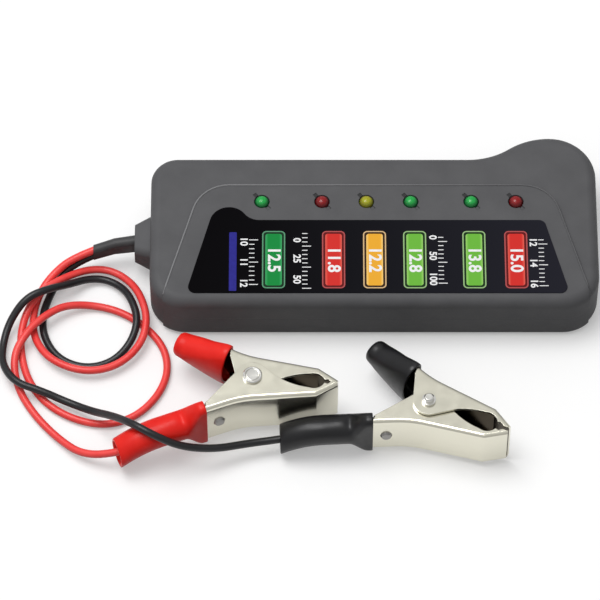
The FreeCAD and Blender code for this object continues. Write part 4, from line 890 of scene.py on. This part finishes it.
def add_scale(name, x, low, high, look):
    """Plain row of graduation ticks, longer at the start of each group."""
    points, faces = [], []
    middle = (low + high) / 2
    count = int((high - low) / TICK_STEP)
    left = -TICK_LONG / 2
    for k in range(count + 1):
        y = low + (high - low) * k / count - middle
        right = left + (TICK_LONG if k % TICK_GROUP == 0 else TICK_SHORT)
        front, back = y - TICK_WIDE / 2, y + TICK_WIDE / 2
        first = len(points)
        for z in (0.0, PRINT_LIFT):
            points += [(left, front, z), (right, front, z), (right, back, z), (left, back, z)]
        faces += [tuple(first + corner for corner in face) for face in BOX_FACES]
    piece = mesh_piece(name, points, faces)
    piece.location = Vector((x, middle, label_top)) * MM
    finish_piece(piece, "tester", look, smooth=False)


def add_print():
    white = ink("ink_white", srgb(226, 226, 228), srgb(240, 240, 240))
    blue = ink("ink_blue", srgb(32, 30, 124), srgb(38, 36, 138))
    for i, (x, words, tones) in enumerate(TAGS, start=1):
        add_tag(i, x, words, tones, white)
    for i, (x, low, high, words) in enumerate(SCALES, start=1):
        add_scale(f"scale_{i}", x, low, high, white)
        add_number(f"scale_number_{i}", words, (x - SCALE_STEP, (low + high) / 2), SCALE_NUMBER, white)
    print_piece("blue_strip", plate_rings(STRIP_WIDE, STRIP_LONG, STRIP_ROUND), STRIP_SPOT, blue)


# Lamp grooves and their painted shadows

GROOVE_TURN = math.radians(-50.0)
GROOVE_WIDE = 1.3
GROOVE_ROUND = 0.2
GROOVE_NEAR = 2.7
GROOVE_FAR = 4.0
GROOVE_DEEP = 0.5
GROOVE_SHADOW_THICK = 0.38


def add_groove_shade(number, lamp):
    """Dark plate painted as the shadow in the back-left end of the groove that crosses a lamp's window."""
    low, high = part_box(lamp)
    spot = (low + high) / 2 / MM
    way = Vector((-math.cos(GROOVE_TURN), -math.sin(GROOVE_TURN), 0.0))
    rings = plate_rings(GROOVE_FAR - GROOVE_NEAR, GROOVE_WIDE, GROOVE_ROUND, GROOVE_SHADOW_THICK)
    piece = mesh_piece(f"groove_shade_{number}", *skin(rings, closed=False))
    middle = (GROOVE_NEAR + GROOVE_FAR) / 2
    piece.location = (Vector((spot.x, spot.y, case_top - GROOVE_DEEP)) + way * middle) * MM
    piece.rotation_euler = (0.0, 0.0, GROOVE_TURN)
    finish_piece(piece, "tester", LOOKS["groove_shade"], smooth=False)


# Plateau edge highlight

CASE_HALF = 75.0
CASE_FRONT = -29.0
FRONT_CORNER = 12.0
PLATEAU_STEP = 0.6
TOP_ROUND = 3.8
PLATEAU_LEFT = 62.8
PLATEAU_RIGHT = 64.3
PLATEAU_BACK = 17.0
PLATEAU_LEAN = math.radians(16.2)
PLATEAU_CORNER = 12.5
BEAD_FRONT = -25.6
BEAD = 0.32
BEAD_SIDES = 8


def on_top(x, y):
    """Point on the plateau, which falls away over the rounded front edge."""
    across = abs(x) - (CASE_HALF - FRONT_CORNER)
    forward = CASE_FRONT + FRONT_CORNER - y
    reach = math.hypot(max(across, 0.0), max(forward, 0.0))
    inset = FRONT_CORNER + PLATEAU_STEP - reach
    over = min(max(TOP_ROUND - inset, 0.0), TOP_ROUND)
    return (x, y, case_top - TOP_ROUND + math.sqrt(TOP_ROUND ** 2 - over ** 2))


def plateau_line():
    """Edge of the raised plateau, from the front left round the back to the front right."""
    lean = math.tan(PLATEAU_LEAN)
    tangent = PLATEAU_CORNER * math.tan((math.pi / 2 - PLATEAU_LEAN) / 2)
    front_y = PLATEAU_BACK - PLATEAU_CORNER * (1 - math.sin(PLATEAU_LEAN))
    line = []
    for side, edge in ((-1, PLATEAU_LEFT), (1, PLATEAU_RIGHT)):
        arc = []
        middle = edge - PLATEAU_BACK * lean - tangent
        for k in range(CORNER_STEPS):
            y = mix(BEAD_FRONT, front_y, k / CORNER_STEPS)
            arc.append(on_top(side * (edge - y * lean), y))
        for k in range(CORNER_STEPS):
            turn = mix(PLATEAU_LEAN, math.pi / 2, k / (CORNER_STEPS - 1))
            x = side * (middle + PLATEAU_CORNER * math.cos(turn))
            arc.append(on_top(x, PLATEAU_BACK - PLATEAU_CORNER * (1 - math.sin(turn))))
        line += arc if side < 0 else reversed(arc)
    return line


def add_plateau_edge():
    """Fine bead along the plateau's edge with a painted highlight, light on the left and darker to the
    right.
    """
    look = Look("painted_highlight_edge", Roughness=0.45, Specular_IOR_Level=0.3)
    share = look.spread(look.along("X"), -PLATEAU_LEFT * MM, PLATEAU_RIGHT * MM)
    # Painted highlight that fades into painted shade from left to right
    look.colour(share, (0.0, srgb(124, 124, 126)), (0.5, srgb(108, 108, 110)), (1.0, srgb(84, 84, 86)))
    look.relief(look.noise(size=0.4, detail=FINE_DETAIL), depth=0.004)
    piece = mesh_piece("plateau_edge", *skin(tube(plateau_line(), BEAD, BEAD_SIDES), closed=False))
    finish_piece(piece, "tester", look)


# Floor

def add_floor():
    """White paper for the eye that throws less light back onto the object."""
    data = bpy.data.meshes.new("floor")
    sides = ((-1, -1), (1, -1), (1, 1), (-1, 1))
    corners = [(x * FLOOR_HALF, y * FLOOR_HALF, FLOOR_LEVEL) for x, y in sides]
    data.from_pydata(corners, [], [(0, 1, 2, 3)])
    floor = link(bpy.data.objects.new("floor", data))
    look = Look("floor_paper", Roughness=0.8, Specular_IOR_Level=0.1)
    look.shader.inputs["Emission Color"].default_value = grey(1.0)
    _, seen = seen_rays(look.tree)
    look.colour(seen, (0.0, grey(FLOOR_BOUNCE)), (1.0, grey(FLOOR_PAPER)))
    look.join(look.spread(seen, 0.0, 1.0, 0.0, FLOOR_GLOW), look.shader.inputs["Emission Strength"])
    floor.data.materials.append(look.material)


# Build

scene.view_settings.view_transform = "Standard"
add_camera()
add_sky()
add_floor()
add_key_light()

for clamp in CLAMPS:
    dress_jaws(clamp)
    pieces = [nodes[clamp.node(piece)] for piece in CLAMP_PIECES]
    pieces.append(add_spring(clamp))
    pieces += [add_sleeve(clamp, jaw) for jaw in SLEEVES]
red, black = CLAMPS
add_lead(red, RED_LEAD)
add_lead(black, BLACK_LEAD)
add_print()
for count, lamp_name in enumerate(LAMPS, start=1):
    add_groove_shade(count, lamp_name)
add_plateau_edge()
